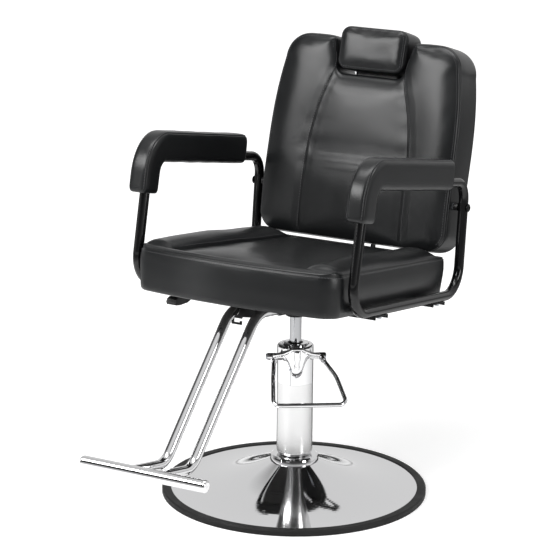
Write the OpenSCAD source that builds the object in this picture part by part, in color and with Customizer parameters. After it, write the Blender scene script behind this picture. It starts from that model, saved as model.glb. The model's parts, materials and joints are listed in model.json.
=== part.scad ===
// Hydraulic barber chair. Millimetres, +Z up, the sitter faces -Y.
// The origin is the middle of the round base, on the floor.
// The seat, arms and footrest are laid out in the seat frame: its X-Y plane is the
// underside of the seat board, raked back about the pump's axis. The backrest and the
// headrest are laid out in the back frame: X across, Y up along the back, Z forward,
// with the recline axis as its origin.

/* [Base] */
// Outer diameter of the rubber ring on the floor
base_d = 590; // [480:5:720]
// Width of the rubber ring
ring_w = 20; // [14:1:26]
// Height of the rubber ring
ring_h = 13; // [10:1:18]
// Height of the chrome dish at its hub
dish_h = 70; // [60:1:80]
// Radius of the dish where the collar stands
dish_hub_r = 54; // [52:1:60]
// Thickness of the dish's sheet
dish_t = 2.5; // [1.5:0.5:4]
// Radius of the pump's bolt circle
flange_bolt_r = 41; // [40:0.5:42]

/* [Pump] */
// Outer diameter of the lower sleeve
sleeve_d = 80; // [76:1:84]
// Height of the seam between the sleeve and the head cover
head_seam_z = 254; // [220:1:280]
// Height of the top of the head cover
head_top_z = 340; // [336:1:346]
// Wall of the sleeve and of the head cover
sleeve_t = 1.6; // [1:0.2:2.4]
// Outer diameter of the pump's cylinder
cylinder_d = 58; // [54:1:62]
// Bore of the pump's cylinder
cylinder_bore = 46; // [40:1:50]
// Diameter of the piston rod
rod_d = 26; // [24:0.5:30]
// Height of the shoulder that carries the seat's hub
shoulder_z = 404; // [400:1:406]
// Length of the spigot above the shoulder
spigot_h = 34; // [28:1:35]
// Diameter of the spigot
spigot_d = 22; // [18:0.5:23]

/* [Foot lever] */
// Direction of the foot lever, turned from -Y towards +X
lever_azimuth = 34; // [0:1:60]
// Distance of the lever's axis in front of the pump's axis
lever_forward = 20; // [14:1:24]
// Height of the lever's axis
lever_z = 317; // [313:1:318]
// Half the distance between the lever's two legs, at the axis
lever_half = 53; // [52:1:60]
// Slope of the lever's loop below horizontal
lever_slope = 30; // [20:1:40]
// Length of the loop from the axis to its cross bar
lever_length = 146; // [120:1:170]
// Half the width of the loop at its cross bar
lever_bar_half = 80; // [70:1:95]
// Outward bow of the lever's legs
lever_bow = 4; // [0:1:9]
// Sideways shift of the lever's cross bar
lever_skew = 21; // [0:1:24]
// Diameter of the lever's rod
lever_d = 10; // [8:0.5:11]
// Diameter of the lever's pivot pins
lever_pin_d = 8; // [6:0.5:9]

/* [Seat] */
// Height of the underside of the seat board on the pump's axis
seat_z = 455.5; // [455:0.5:500]
// Backward rake of the seat
seat_rake = 8; // [4:0.5:10]
// Half the width of the seat cushion
seat_half_w = 240; // [200:1:240]
// Distance from the pump's axis to the cushion's front corners
seat_front = 282; // [250:1:300]
// Forward bow of the cushion's front edge
seat_bow = 34; // [10:1:40]
// Distance from the pump's axis to the cushion's back edge
seat_back = 238; // [225:1:238]
// Height of the cushion's underside above the board's underside
seat_lip = 2.5; // [1:0.5:9]
// Height of the cushion's side seam above the board's underside
seat_seam = 92; // [75:1:98]
// Rise of the side bolsters above the seam
bolster_rise = 13; // [6:0.5:16]
// Width of the side bolsters
bolster_w = 80; // [50:1:90]
// Thickness of the plywood seat board
board_t = 15; // [12:1:18]

/* [Arms] */
// Distance of each arm loop from the middle
arm_x = 262; // [260:1:300]
// Diameter of the arm tube
arm_d = 22; // [19:0.5:23]
// Wall of the arm tube
arm_wall = 1.8; // [1.2:0.2:2.4]
// Front foot of the loop, in front of the pump's axis
arm_front = 247; // [225:1:260]
// Rear foot of the loop, behind the pump's axis
arm_rear = 271; // [268:1:285]
// Height of the loop at the front
arm_front_h = 276; // [240:1:300]
// Height of the loop at the rear
arm_rear_h = 250; // [230:1:290]
// How far the front post leans back
arm_front_lean = 21; // [0:1:30]
// How far the rear post leans forward
arm_rear_lean = 10; // [0:1:20]
// Bend radius at the two lower corners
arm_low_r = 60; // [40:1:70]
// Bend radius at the two upper corners
arm_high_r = 45; // [40:1:50]
// Width of the arm pad
pad_w = 47; // [40:1:56]
// Length of the arm pad along the top
pad_l = 385; // [300:5:400]
// Length of the arm pad's drop down the front post
pad_drop = 84; // [60:1:110]

/* [Footrest] */
// Distance of each footrest tube from the middle
foot_x = 32; // [30:1:40]
// Diameter of the footrest tubes
foot_d = 22; // [19:0.5:25]
// Upper bend of the footrest, in front of the pump's axis
foot_top = 226; // [210:1:250]
// Lower bend of the footrest, in front of the pump's axis
foot_low = 451; // [400:1:480]
// Drop of the footrest's lower bend below the seat board
foot_drop = 319; // [280:1:330]
// Distance of the cross bar in front of the lower bend
foot_toe = 131; // [100:1:160]
// Diameter of the cross bar
toe_bar_d = 26; // [24:1:32]
// Length of the cross bar between its end caps
toe_bar_l = 284; // [240:2:340]

/* [Back] */
// Recline of the backrest from vertical
back_angle = 15.5; // [12:0.5:20]
// Height of the recline axis above the board's underside
recline_h = 205; // [190:1:215]
// Half the width of the backrest
back_half_w = 237; // [190:1:238]
// Length of the backrest below the recline axis
back_below = 111; // [90:1:112]
// Length of the backrest above the recline axis
back_above = 350; // [300:1:420]
// Thickness of the backrest between its edge seams
back_t = 92; // [80:1:100]
// Distance of the recline axis behind the front seam
recline_depth = 26; // [24:1:36]
// Half the width of the headrest notch at its mouth
notch_half = 98; // [88:1:110]
// Depth of the headrest notch
notch_depth = 89; // [70:1:100]

/* [Headrest] */
// Width of the headrest
head_w = 166; // [130:1:168]
// Height of the headrest
head_h = 98; // [80:1:130]
// Depth of the headrest
head_t = 84; // [60:1:90]
// Half the distance between the headrest posts
post_x = 45; // [30:1:55]
// Diameter of the headrest posts
post_d = 12; // [10:0.5:14]

/* [Hidden] */
$fn = 64;

// Radial gap of a turning or sliding pair, gap of a fastener in its hole, gap round a
// soft part, and how far a cutting tool passes the face that it cuts
run_gap = 0.05;
fit_gap = 0.1;
soft_gap = 0.3;
cut = 1;

// Base
ring_r = base_d / 2;
dish_rim_r = ring_r - 6;
dish_rim_z = ring_h - 2;
dish_steps = 36;
disc_t = 6;
disc_r = 96;
flange_t = 8;
flange_r = flange_bolt_r + 9;
sleeve_r = sleeve_d / 2;
collar_h = flange_t + 8;
sleeve_foot_r = sleeve_r - cylinder_d / 2 - 1;
sleeve_foot_z = dish_h + collar_h + 0.1;
bolt_d = 8;
bolt_flats = 13;
bolt_head_h = 5.5;

// Pump
cylinder_r = cylinder_d / 2;
cylinder_foot_z = 22;
cap_z = head_top_z - 6;
cap_rim_h = 4.2;
cap_boss_h = 9.5;
cover_r = sleeve_r + 0.5;
cover_angle = 14.3;
cover_screw_z = head_top_z - 49;
head_r = sleeve_r - sleeve_t - fit_gap;
head_h_z = 46;
head_z = cap_z - head_h_z;
ear_w = 22;
ear_h = 16;
nose_forward = 49;
nose_half = 10;
nose_rise = 23;
nose_r = 4;
plunger_r = 7.5;
plunger_pin_r = 3.6;
plunger_skirt = 20;
lug_t = 6.5;
lug_r = 6.2;
lug_boss_r = 5.6;
lug_foot = -22.5;
piston_z = cylinder_foot_z + 75;
piston_h = 20;
washer_t = 1.5;

// Under the seat
cross_w = 60;
cross_h = 8;
cross_t = 3;
front_cross_y = -142;
rear_cross_y = 138;
cross_half = arm_x + 6;
arm_bolt_d = 6;
hub_plate_t = 6;
hub_plate_half_w = 75;
hub_r = 22;
hub_foot_z = shoulder_z + washer_t;
foot_run_z = -cross_h - foot_d / 2;
foot_rear_y = -54;
foot_wall = 1.8;
toe_z = -313;
tube_bend_r = 70;
toe_bend_r = 52;

// Arm pads: their skin's distance from the tube's middle
pad_front = 37.5;
pad_behind = 25;
pad_top = 51;
pad_under = 17;

// Seat cushion
seat_pocket_inset = 18;
seat_corner_r = 34;
side_bulge = 4;

// Recline axis and back frame
recline_y = arm_rear - arm_rear_lean * (recline_h - arm_d / 2) / arm_rear_h;
recline_axis = [
    recline_y * cos(seat_rake) + recline_h * sin(seat_rake),
    seat_z - recline_y * sin(seat_rake) + recline_h * cos(seat_rake)
];
recline_range = 20;
back_front = recline_depth;
back_rear = back_front - back_t;
back_pocket_inset = 9;
back_crown = 14;
back_swell = 1.5;
back_pocket_depth = 58;
pocket_floor = back_rear + back_pocket_depth;
panel_t = 4;
notch_floor = back_above - notch_depth;
notch_corner_r = 22;
recline_bolt_d = 10;
insert_r = 9;
insert_in = 204;
post_z = -20;
sleeve_post_r = 9;
head_foot = notch_floor + 15;
head_corner_r = 21;
head_front = 34;

// Recline strut: its pins are level at rest, the back's pin hangs under the back frame
strut_reach = 38.3;
strut_drop = 217;
strut_back_y = recline_axis[0] + strut_reach;
strut_pin_z = recline_axis[1] - strut_drop;
strut_z = strut_pin_z - 1.7;
strut_front_y = 72;
strut_r = 11;
strut_rod_r = 5;
strut_pin_d = 8;
head_half_w = 14;
eye_half_w = 12;
strut_front = 172;
strut_tail = strut_back_y - 14;
strut_eye_play = 2.3;

// Release handle and its cable, in the seat frame
handle_x = -218;
handle_w = 30;
handle_y = -122;
handle_z = -28;
cable_r = 3;
cable_z = -28;
cable_bend_r = 40;

black_vinyl = "#1c1c1d";
black_paint = "#101011";
chrome = "#d9dbdd";
steel = "#9a9da1";
zinc = "#b9bcc0";
plywood = "#b58d5a";
black_rubber = "#161616";
black_plastic = "#1d1d1f";
black_wood = "#191819";

// ------------------------------------------------------------------ frames

module seat_frame() {
    translate([0, 0, seat_z]) rotate([-seat_rake, 0, 0]) children();
}

module back_frame_axes() {
    translate([0, recline_axis[0], recline_axis[1]])
        rotate([90 - back_angle, 0, 0]) children();
}

// The foot lever's frame: X along its axis, -Y outwards, Z up, with its axis at the origin
module lever_frame() {
    rotate([0, 0, lever_azimuth]) translate([0, -lever_forward, lever_z]) children();
}

// The children as they are, and mirrored across the middle
module both_sides() {
    children();
    mirror([1, 0, 0]) children();
}

// Everything above a height in the seat frame, for trimming what is welded under it
module above_seat_plane(z) {
    seat_frame() translate([-400, -400, z]) cube([800, 800, 400]);
}

// ------------------------------------------------------------------ shared shapes

function heading(p, q) = atan2(q[1] - p[1], q[0] - p[0]);
function turn(a, b) = (b - a) - 360 * floor((b - a + 180) / 360);
function along(angle) = [cos(angle), sin(angle)];

// The turn, the tangent length and the centre of the bend at corner i of a flat path
function bend_turn(points, i) =
    let (n = len(points), before = points[(i + n - 1) % n], after = points[(i + 1) % n])
        turn(heading(before, points[i]), heading(points[i], after));
function bend_cut(points, radii, i) = radii[i] * tan(abs(bend_turn(points, i)) / 2);
function bend_centre(points, radii, i) =
    let (n = len(points), h = heading(points[(i + n - 1) % n], points[i]),
         side = sign(bend_turn(points, i)))
        points[i] - bend_cut(points, radii, i) * along(h) + side * radii[i] * along(h + 90);

// A rod, or a tube where wall is set, along a flat path of corner points. The straight
// runs are extrusions and the bends are revolves, so every wall is a true one. A bend is
// a hair slimmer than the runs and reaches a little way into both, so that they join.
module bent_tube(points, radii, d, wall = 0, closed = false) {
    n = len(points);
    hair = 0.05;
    reach = 0.3;
    cuts = [for (i = [0 : n - 1])
        closed || (i > 0 && i < n - 1) ? bend_cut(points, radii, i) : 0];
    for (i = [0 : closed ? n - 1 : n - 2]) {
        j = (i + 1) % n;
        h = heading(points[i], points[j]);
        run = norm(points[j] - points[i]) - cuts[i] - cuts[j];
        translate(concat(points[i] + cuts[i] * along(h), 0))
            rotate([90, 0, h + 90]) linear_extrude(run) tube_section(d, wall);
    }
    for (i = [0 : n - 1]) if (cuts[i] > 0.01) {
        h = heading(points[(i + n - 1) % n], points[i]);
        t = bend_turn(points, i);
        extra = reach / radii[i] * 180 / PI;
        translate(concat(bend_centre(points, radii, i), 0))
            rotate([0, 0, (t > 0 ? h - 90 : h + 90 - abs(t)) - extra])
                rotate_extrude(angle = abs(t) + 2 * extra, $fn = 96)
                    translate([radii[i], 0]) tube_section(d - 2 * hair, max(0, wall - 2 * hair));
    }
}

module tube_section(d, wall) {
    difference() {
        circle(d = d);
        if (wall > 0) circle(d = d - 2 * wall);
    }
}

module tube(outer_r, inner_r, h) {
    difference() {
        cylinder(r = outer_r, h = h);
        translate([0, 0, -cut]) cylinder(r = inner_r, h = h + 2 * cut);
    }
}

module hex(flats, h) {
    cylinder(d = flats / cos(30), h = h, $fn = 6);
}

// A hexagon-head bolt with its head's seat at the origin and its shank down -Z
module hex_bolt(d, flats, head_h, length) {
    hex(flats, head_h);
    translate([0, 0, -length]) cylinder(d = d, h = length);
}

// A flat plate with rounded corners, from z = 0 up
module rounded_plate(w, l, t, r) {
    hull() for (x = [-1, 1]) for (y = [-1, 1])
        translate([x * (w / 2 - r), y * (l / 2 - r), 0]) cylinder(r = r, h = t, $fn = 32);
}

// ------------------------------------------------------------------ soft forms

// The edge of a grid of cols by rows cells, once round from its first corner
function grid_edge(cols, rows) = [
    for (i = [0 : cols - 1]) [i, 0],
    for (j = [0 : rows - 1]) [cols, j],
    for (i = [cols : -1 : 1]) [i, rows],
    for (j = [rows : -1 : 1]) [0, j]
];

// Two triangles for each cell between loop r and loop r + 1 of n points
function loop_band(r, n) = [for (i = [0 : n - 1])
    let (a = r * n + i, b = r * n + (i + 1) % n) each [[a, a + n, b], [b, a + n, b + n]]];

// The flat underside of a first loop: strips between its two long edges, and a fan down
// each side
function floor_strips(cols, rows) = [
    for (i = [0 : cols - 1]) each [
        [i, i + 1, 2 * cols + rows - i - 1],
        [i, 2 * cols + rows - i - 1, 2 * cols + rows - i]
    ],
    for (j = [1 : rows - 1]) [cols, cols + j, cols + j + 1],
    for (k = [0 : rows - 2]) [0, 2 * cols + rows + k, 2 * cols + rows + k + 1]
];

function outline_of(grid) =
    let (edge = grid_edge(len(grid[0]) - 1, len(grid) - 1))
        [for (e = edge) grid[e[1]][e[0]]];

// The outline drawn in by an inset, each point along its own normal
function inset_outline(line, inset) =
    let (n = len(line)) [for (k = [0 : n - 1])
        let (d = line[(k + 1) % n] - line[(k + n - 1) % n])
            line[k] - inset * [d[1], -d[0]] / norm(d)];

function distance_to_segment(p, a, b) =
    let (t = min(1, max(0, ((p - a) * (b - a)) / ((b - a) * (b - a))))) norm(p - a - t * (b - a));
function distance_to_outline(p, line) =
    let (n = len(line)) min([for (k = [0 : n - 1])
        distance_to_segment(p, line[k], line[(k + 1) % n])]);

// A closed cushion of triangles. grid holds its rows of points, levels lists [inset,
// height] from its flat underside or its pocket's ceiling, round and up its side to the
// edge of the face, and relief(x, y, d) is the face's height over that edge at a point
// that lies d inside the outline.
module cushion(grid, levels, relief) {
    cols = len(grid[0]) - 1;
    rows = len(grid) - 1;
    line = outline_of(grid);
    n = len(line);
    bands = len(levels) - 1;
    last = bands * n;
    top = levels[bands][1];
    sides = [for (level = levels) each
        [for (p = inset_outline(line, level[0])) concat(p, level[1])]];
    inner = [for (j = [1 : rows - 1]) for (i = [1 : cols - 1])
        let (p = grid[j][i])
            concat(p, top + relief(p[0], p[1], distance_to_outline(p, line)))];
    at = function (i, j)
        j == 0 ? last + i
        : i == cols ? last + cols + j
        : j == rows ? last + 2 * cols + rows - i
        : i == 0 ? last + n - j
        : last + n + (j - 1) * (cols - 1) + i - 1;
    walls = [for (r = [0 : bands - 1]) each loop_band(r, n)];
    face = [for (j = [0 : rows - 1]) for (i = [0 : cols - 1]) each [
        [at(i, j), at(i + 1, j + 1), at(i + 1, j)],
        [at(i, j), at(i, j + 1), at(i + 1, j + 1)]
    ]];
    polyhedron(concat(sides, inner), concat(floor_strips(cols, rows), walls, face));
}

// A soft grip round a path: each frame is [centre, outward direction] in the path's
// plane, outer(f) is the loop of its skin there, and the skin runs back along the bore
module sleeve_pad(frames, outer, bore_r) {
    m = len(frames);
    n = len(outer(0));
    place = function (f, p) concat(frames[f][0] + p[1] * frames[f][1], p[0]);
    bore = [for (i = [0 : n - 1]) bore_r / cos(180 / n) * along(270 + i * 360 / n)];
    skin = concat(
        [for (f = [0 : m - 1]) each [for (p = outer(f)) place(f, p)]],
        [for (f = [m - 1 : -1 : 0]) each [for (p = bore) place(f, p)]]
    );
    loops = 2 * m;
    polyhedron(skin, [for (r = [0 : loops - 1]) for (i = [0 : n - 1])
        let (j = (i + 1) % n, a = r * n, b = (r + 1) % loops * n)
            each [[a + i, b + i, a + j], [a + j, b + i, b + j]]]);
}

// A point of a rectangle with half sides w and h, moved in where the corner is round
function rounded(x, y, w, h, r) =
    let (dx = abs(x) - (w - r), dy = abs(y) - (h - r))
        dx <= 0 || dy <= 0 ? [x, y]
        : let (k = max(dx, dy) / norm([dx, dy]))
            [sign(x) * (w - r + dx * k), sign(y) * (h - r + dy * k)];

function smooth(t) = let (c = min(1, max(0, t))) c * c * (3 - 2 * c);
function bump(t) = abs(t) >= 1 ? 0 : pow(1 - t * t, 2);
function roll(t) = let (c = min(1, max(0, t))) sqrt(1 - (1 - c) * (1 - c));
function lerp(a, b, t) = a + (b - a) * t;
function mirrored(half) = concat([for (i = [len(half) - 1 : -1 : 1]) -half[i]], half);
function arc(centre, r, from, to, steps) =
    [for (k = [0 : steps]) centre + r * along(from + (to - from) * k / steps)];

// ------------------------------------------------------------------ base

function dish_z(r) = dish_rim_z + (dish_h - dish_rim_z)
    * pow((dish_rim_r - ring_w - r) / (dish_rim_r - ring_w - dish_hub_r), 1.9);

// The pressed chrome dish: a trumpet-shaped shell with a rolled rim that sits in the ring
module base_plate() {
    inner_r = 33;
    foot_r = dish_rim_r - ring_w;
    radii = [for (i = [0 : dish_steps]) foot_r + (dish_hub_r - foot_r) * i / dish_steps];
    outline = concat(
        [[dish_rim_r, dish_rim_z]],
        [for (r = radii) [r, dish_z(r)]],
        [[inner_r, dish_h], [inner_r, dish_h - dish_t]],
        [for (i = [dish_steps : -1 : 0]) [radii[i], dish_z(radii[i]) - dish_t]],
        [[dish_rim_r, dish_rim_z - dish_t]]
    );
    color(chrome) difference() {
        rotate_extrude($fn = 180) polygon(outline);
        for (a = [45 : 90 : 359]) rotate([0, 0, a])
            translate([flange_bolt_r, 0, dish_h - dish_t - cut])
                cylinder(d = bolt_d + 2 * fit_gap, h = dish_t + 2 * cut);
    }
}

// The rubber ring that grips the dish's rim and stands on the floor
module base_ring() {
    lip = 3;
    inner = ring_r - ring_w;
    rim_low = dish_rim_z - dish_t;
    color(black_rubber) rotate_extrude($fn = 180) difference() {
        polygon([
            [inner, 0], [ring_r, 0], [ring_r, ring_h - lip],
            [ring_r - lip, ring_h], [inner + lip, ring_h], [inner, ring_h - 1]
        ]);
        polygon([
            [inner - cut, rim_low], [dish_rim_r, rim_low],
            [dish_rim_r, dish_rim_z], [inner - cut, dish_rim_z]
        ]);
    }
}

// The steel disc welded under the dish, which takes the pump's bolts
module base_disc() {
    top = dish_h - dish_t;
    disc_top = dish_z(disc_r) - dish_t - 2;
    outline = [
        [disc_r - disc_t, 0.5], [disc_r, 0.5], [disc_r, disc_top],
        [dish_hub_r, top], [32, top], [32, top - disc_t],
        [dish_hub_r - 2, top - disc_t], [disc_r - disc_t, disc_top - disc_t]
    ];
    color(steel) difference() {
        rotate_extrude($fn = 120) polygon(outline);
        for (a = [45 : 90 : 359]) rotate([0, 0, a])
            translate([flange_bolt_r, 0, top - disc_t - cut])
                cylinder(d = bolt_d + 2 * fit_gap, h = disc_t + 2 * cut);
    }
}

// ------------------------------------------------------------------ pump

// The pump's cylinder with its foot plug and the flange that bolts to the dish
module pump_cylinder() {
    top = head_z;
    color(steel) difference() {
        union() {
            translate([0, 0, cylinder_foot_z]) cylinder(r = cylinder_r, h = top - cylinder_foot_z);
            translate([0, 0, dish_h]) cylinder(r = flange_r, h = flange_t);
        }
        translate([0, 0, cylinder_foot_z + 8]) cylinder(d = cylinder_bore, h = top);
        for (a = [45 : 90 : 359]) rotate([0, 0, a])
            translate([flange_bolt_r, 0, dish_h - cut])
                cylinder(d = bolt_d + 2 * fit_gap, h = flange_t + 2 * cut);
    }
}

module flange_bolts() {
    length = flange_t + dish_t + disc_t + 12;
    color(zinc) for (a = [45 : 90 : 359]) rotate([0, 0, a])
        translate([flange_bolt_r, 0, dish_h + flange_t])
            hex_bolt(bolt_d, bolt_flats, bolt_head_h, length);
}

module flange_nuts() {
    nut_h = 6.5;
    color(zinc) for (a = [45 : 90 : 359]) rotate([0, 0, a])
        translate([flange_bolt_r, 0, dish_h - dish_t - disc_t - nut_h]) difference() {
            hex(bolt_flats, nut_h);
            translate([0, 0, -cut]) cylinder(d = bolt_d, h = nut_h + 2 * cut);
        }
}

// The turned chrome collar that hides the flange
module collar_ring() {
    wall = 2;
    mouth_r = cylinder_r + 1;
    color(chrome) translate([0, 0, dish_h]) rotate_extrude($fn = 120) polygon([
        [dish_hub_r - 1, 0], [dish_hub_r, 2], [dish_hub_r, collar_h - 6],
        [dish_hub_r - 1.5, collar_h - 2.5], [dish_hub_r - 5, collar_h],
        [mouth_r, collar_h], [mouth_r, collar_h - wall],
        [dish_hub_r - 5, collar_h - wall], [dish_hub_r - wall, collar_h - 7],
        [dish_hub_r - wall, 0]
    ]);
}

// The lower chrome sleeve with its rolled-in foot
module lower_sleeve() {
    centre = [sleeve_r - sleeve_foot_r, sleeve_foot_z + sleeve_foot_r];
    color(chrome) rotate_extrude($fn = 120) polygon(concat(
        [[sleeve_r, head_seam_z]],
        arc(centre, sleeve_foot_r, 0, -85, 8),
        arc(centre, sleeve_foot_r - sleeve_t, -80, 0, 8),
        [[sleeve_r - sleeve_t, head_seam_z]]
    ));
}

// The upper chrome cover with its rolled-in top, slit below its screw, and open at the
// sides for the ears and in front for the lug
module head_cover() {
    mouth_r = 30;
    edge_r = 4;
    inner_r = sleeve_r - sleeve_t;
    low = head_seam_z + 0.4;
    color(chrome) difference() {
        rotate_extrude($fn = 120) polygon(concat(
            [[cover_r, low]],
            arc([cover_r - edge_r, head_top_z - edge_r], edge_r, 0, 90, 5),
            [[mouth_r, head_top_z], [mouth_r, head_top_z - sleeve_t]],
            [[inner_r - 1, head_top_z - sleeve_t], [inner_r, head_top_z - sleeve_t - 1], [inner_r, low]]
        ));
        lever_frame() rotate([0, 90, 0]) translate([0, 0, -80]) cylinder(d = ear_h + 1, h = 160);
        lever_frame() translate([-lug_r - 0.5, -60, lug_foot - 0.5])
            cube([2 * lug_r + 1, 60, lug_t + 1]);
        cover_screw_axis() translate([0, 0, -8]) cylinder(d = 3 + 2 * fit_gap, h = 20);
        rotate([0, 0, cover_angle]) translate([-0.4, -cover_r - cut, low - cut])
            cube([0.8, 6, cover_screw_z - low + cut]);
    }
}

// The cover's screw: Z out of the cover, from its face
module cover_screw_axis() {
    rotate([0, 0, cover_angle]) translate([0, -cover_r, cover_screw_z]) rotate([90, 0, 0]) children();
}

// The button-head screw that holds the cover on the pump head
module cover_screw() {
    color(zinc) cover_screw_axis() {
        translate([0, 0, -7.5]) cylinder(d = 3, h = 7.5 + cut);
        difference() {
            rotate_extrude($fn = 32) polygon([[0, 0], [3, 0], [3, 0.9], [2.3, 1.7], [0, 2.1]]);
            translate([0, 0, 1.1]) cylinder(d = 1.8, h = 2, $fn = 6);
        }
    }
}

// The cast pump head: a plug in the cylinder's mouth with two ears and the front lug that
// guides the plunger on its boss
module pump_head() {
    ear_out = lever_half - ear_w / 2 - 0.5;
    nose_y = lever_forward - nose_forward;
    color(chrome) difference() {
        union() {
            translate([0, 0, head_z]) cylinder(r = head_r, h = head_h_z);
            lever_frame() rotate([0, 90, 0]) translate([0, 0, -ear_out]) cylinder(d = ear_h, h = 2 * ear_out);
            lever_frame() translate([0, nose_y, lug_foot]) {
                cylinder(r = lug_r, h = lug_t);
                cylinder(r = lug_boss_r, h = 1 - lug_foot);
                translate([-lug_r, 0, 0]) cube([2 * lug_r, 20, lug_t]);
            }
        }
        translate([0, 0, head_z - cut]) cylinder(r = rod_d / 2 + 1.5, h = head_h_z + 2 * cut);
        lever_frame() rotate([0, 90, 0]) translate([0, 0, -100]) cylinder(d = lever_pin_d, h = 200);
        lever_frame() translate([0, nose_y, lug_foot + 1])
            cylinder(r = plunger_pin_r + run_gap, h = -lug_foot + cut);
        cover_screw_axis() translate([0, 0, -8.5]) cylinder(d = 3, h = 8.5);
    }
}

// The chrome gland nut that closes the head, with a low boss round the rod
module gland_cap() {
    boss_r = 28;
    color(chrome) translate([0, 0, cap_z]) rotate_extrude($fn = 96) polygon([
        [rod_d / 2 + 4, 0], [head_r, 0], [head_r, cap_rim_h - 1], [head_r - 1, cap_rim_h],
        [boss_r, cap_rim_h], [boss_r, cap_boss_h - 1.5], [boss_r - 1.5, cap_boss_h],
        [rod_d / 2 + 4, cap_boss_h]
    ]);
}

// The rubber wiper that seals on the rod
module rod_wiper() {
    color(black_rubber) translate([0, 0, cap_z]) difference() {
        union() {
            cylinder(r = rod_d / 2 + 4, h = cap_boss_h - 0.5);
            translate([0, 0, cap_boss_h - 0.5]) cylinder(r1 = rod_d / 2 + 3.6, r2 = rod_d / 2 + 1.2, h = 2.5);
        }
        translate([0, 0, -cut]) cylinder(r = rod_d / 2 + run_gap, h = 20);
    }
}

// The two pivot pins, pressed through the ears
module lever_pins() {
    start = rod_d / 2 + 3;
    out = lever_half + ear_w / 2 + 0.3;
    color(zinc) lever_frame() both_sides() translate([start, 0, 0]) rotate([0, 90, 0]) {
        cylinder(d = lever_pin_d, h = out - start);
        translate([0, 0, out - start]) cylinder(d = lever_pin_d + 5, h = 2);
    }
}

// The plunger: a cap that the rocker's nose presses, over the lug's boss, on a pin that
// slides in it
module pump_plunger() {
    top = nose_rise - nose_r - 0.3;
    color(chrome) lever_frame() translate([0, lever_forward - nose_forward, 0]) {
        translate([0, 0, -6.5]) cylinder(r = plunger_pin_r, h = top + 6.5 - cut);
        translate([0, 0, top]) rotate_extrude($fn = 64) polygon([
            [0, 0], [plunger_r - 1.5, 0], [plunger_r, -1.5], [plunger_r, -plunger_skirt],
            [plunger_r - 1.5, -plunger_skirt], [plunger_r - 1.5, -3], [0, -3]
        ]);
    }
}

// The root, the end and the middle of a leg of the loop, in the loop's plane
function leg_root(side) = side * (lever_half - 2.5) + lever_skew / 10;
function leg_end(side) = side * lever_bar_half + lever_skew;
function leg_middle(side) = [
    (leg_root(side) + leg_end(side)) / 2 + side * lever_bow + 0.155 * lever_skew,
    0.44 * lever_length
];
function leg_angle(side) = atan2(leg_middle(side)[0] - leg_root(side), leg_middle(side)[1]);

// A leg's axis, with Z out along the leg from the pivot
module leg_axis(side) {
    rotate([lever_slope, 0, 0]) translate([leg_root(side), 0, 0])
        rotate([90, 0, leg_angle(side)]) children();
}

// The rocker: two eyes on the pins, joined by a thin arched bar whose nose presses the
// plunger
module rocker() {
    eye_in = lever_half - ear_w / 2;
    nose_y = lever_forward - nose_forward;
    arch = [
        [eye_in + 6, -9, 4.5, 4.6], [28, -20, 11, 4.4], [18, -26, 17.5, 4],
        [nose_half, nose_y, nose_rise, nose_r]
    ];
    color(chrome) lever_frame() difference() {
        union() {
            for (side = [-1, 1]) {
                translate([side * lever_half, 0, 0]) rotate([0, 90, 0])
                    cylinder(d = ear_h, h = ear_w, center = true);
                leg_axis(side) cylinder(d = ear_h - 3, h = 17);
                for (k = [0 : 2]) hull() for (at = [arch[k], arch[k + 1]])
                    translate([side * at[0], at[1], at[2]]) sphere(r = at[3], $fn = 20);
            }
            translate([-nose_half, nose_y, nose_rise]) rotate([0, 90, 0])
                cylinder(r = nose_r, h = 2 * nose_half, $fn = 32);
        }
        rotate([0, 90, 0]) translate([0, 0, -100]) cylinder(d = lever_pin_d + 2 * run_gap, h = 200);
        for (side = [-1, 1]) leg_axis(side)
            translate([0, 0, lever_pin_d / 2 + 4.1]) cylinder(d = lever_d, h = 40);
        translate([0, lever_forward, -30]) cylinder(r = sleeve_r + 1.2, h = 60);
    }
}

// The chrome loop that the foot presses, with both ends in the rocker's eyes
module pedal_loop() {
    start = lever_pin_d / 2 + 4.2;
    leg = function (side) [
        [leg_root(side) + start * sin(leg_angle(side)), -start * cos(leg_angle(side))],
        [leg_middle(side)[0], -leg_middle(side)[1]],
        [leg_end(side), -lever_length]
    ];
    path = concat(leg(1), [for (i = [2 : -1 : 0]) leg(-1)[i]]);
    color(chrome) lever_frame() rotate([lever_slope, 0, 0])
        bent_tube(path, [0, 110, 15, 15, 110, 0], lever_d);
}

// ------------------------------------------------------------------ piston

module piston_rod() {
    foot = piston_z + piston_h;
    color(chrome) {
        translate([0, 0, foot]) cylinder(d = rod_d, h = shoulder_z - foot);
        translate([0, 0, shoulder_z]) cylinder(d = spigot_d, h = spigot_h);
    }
}

module piston_head() {
    color(steel) translate([0, 0, piston_z]) difference() {
        cylinder(d = cylinder_bore - 2 * run_gap, h = piston_h);
        for (z = [5, 12]) translate([0, 0, z]) tube(cylinder_bore, cylinder_bore / 2 - 2, 3);
    }
}

module thrust_washer() {
    color("#b08d4a") translate([0, 0, shoulder_z]) tube(rod_d / 2, spigot_d / 2 + run_gap, washer_t);
}

// ------------------------------------------------------------------ seat frame

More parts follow.
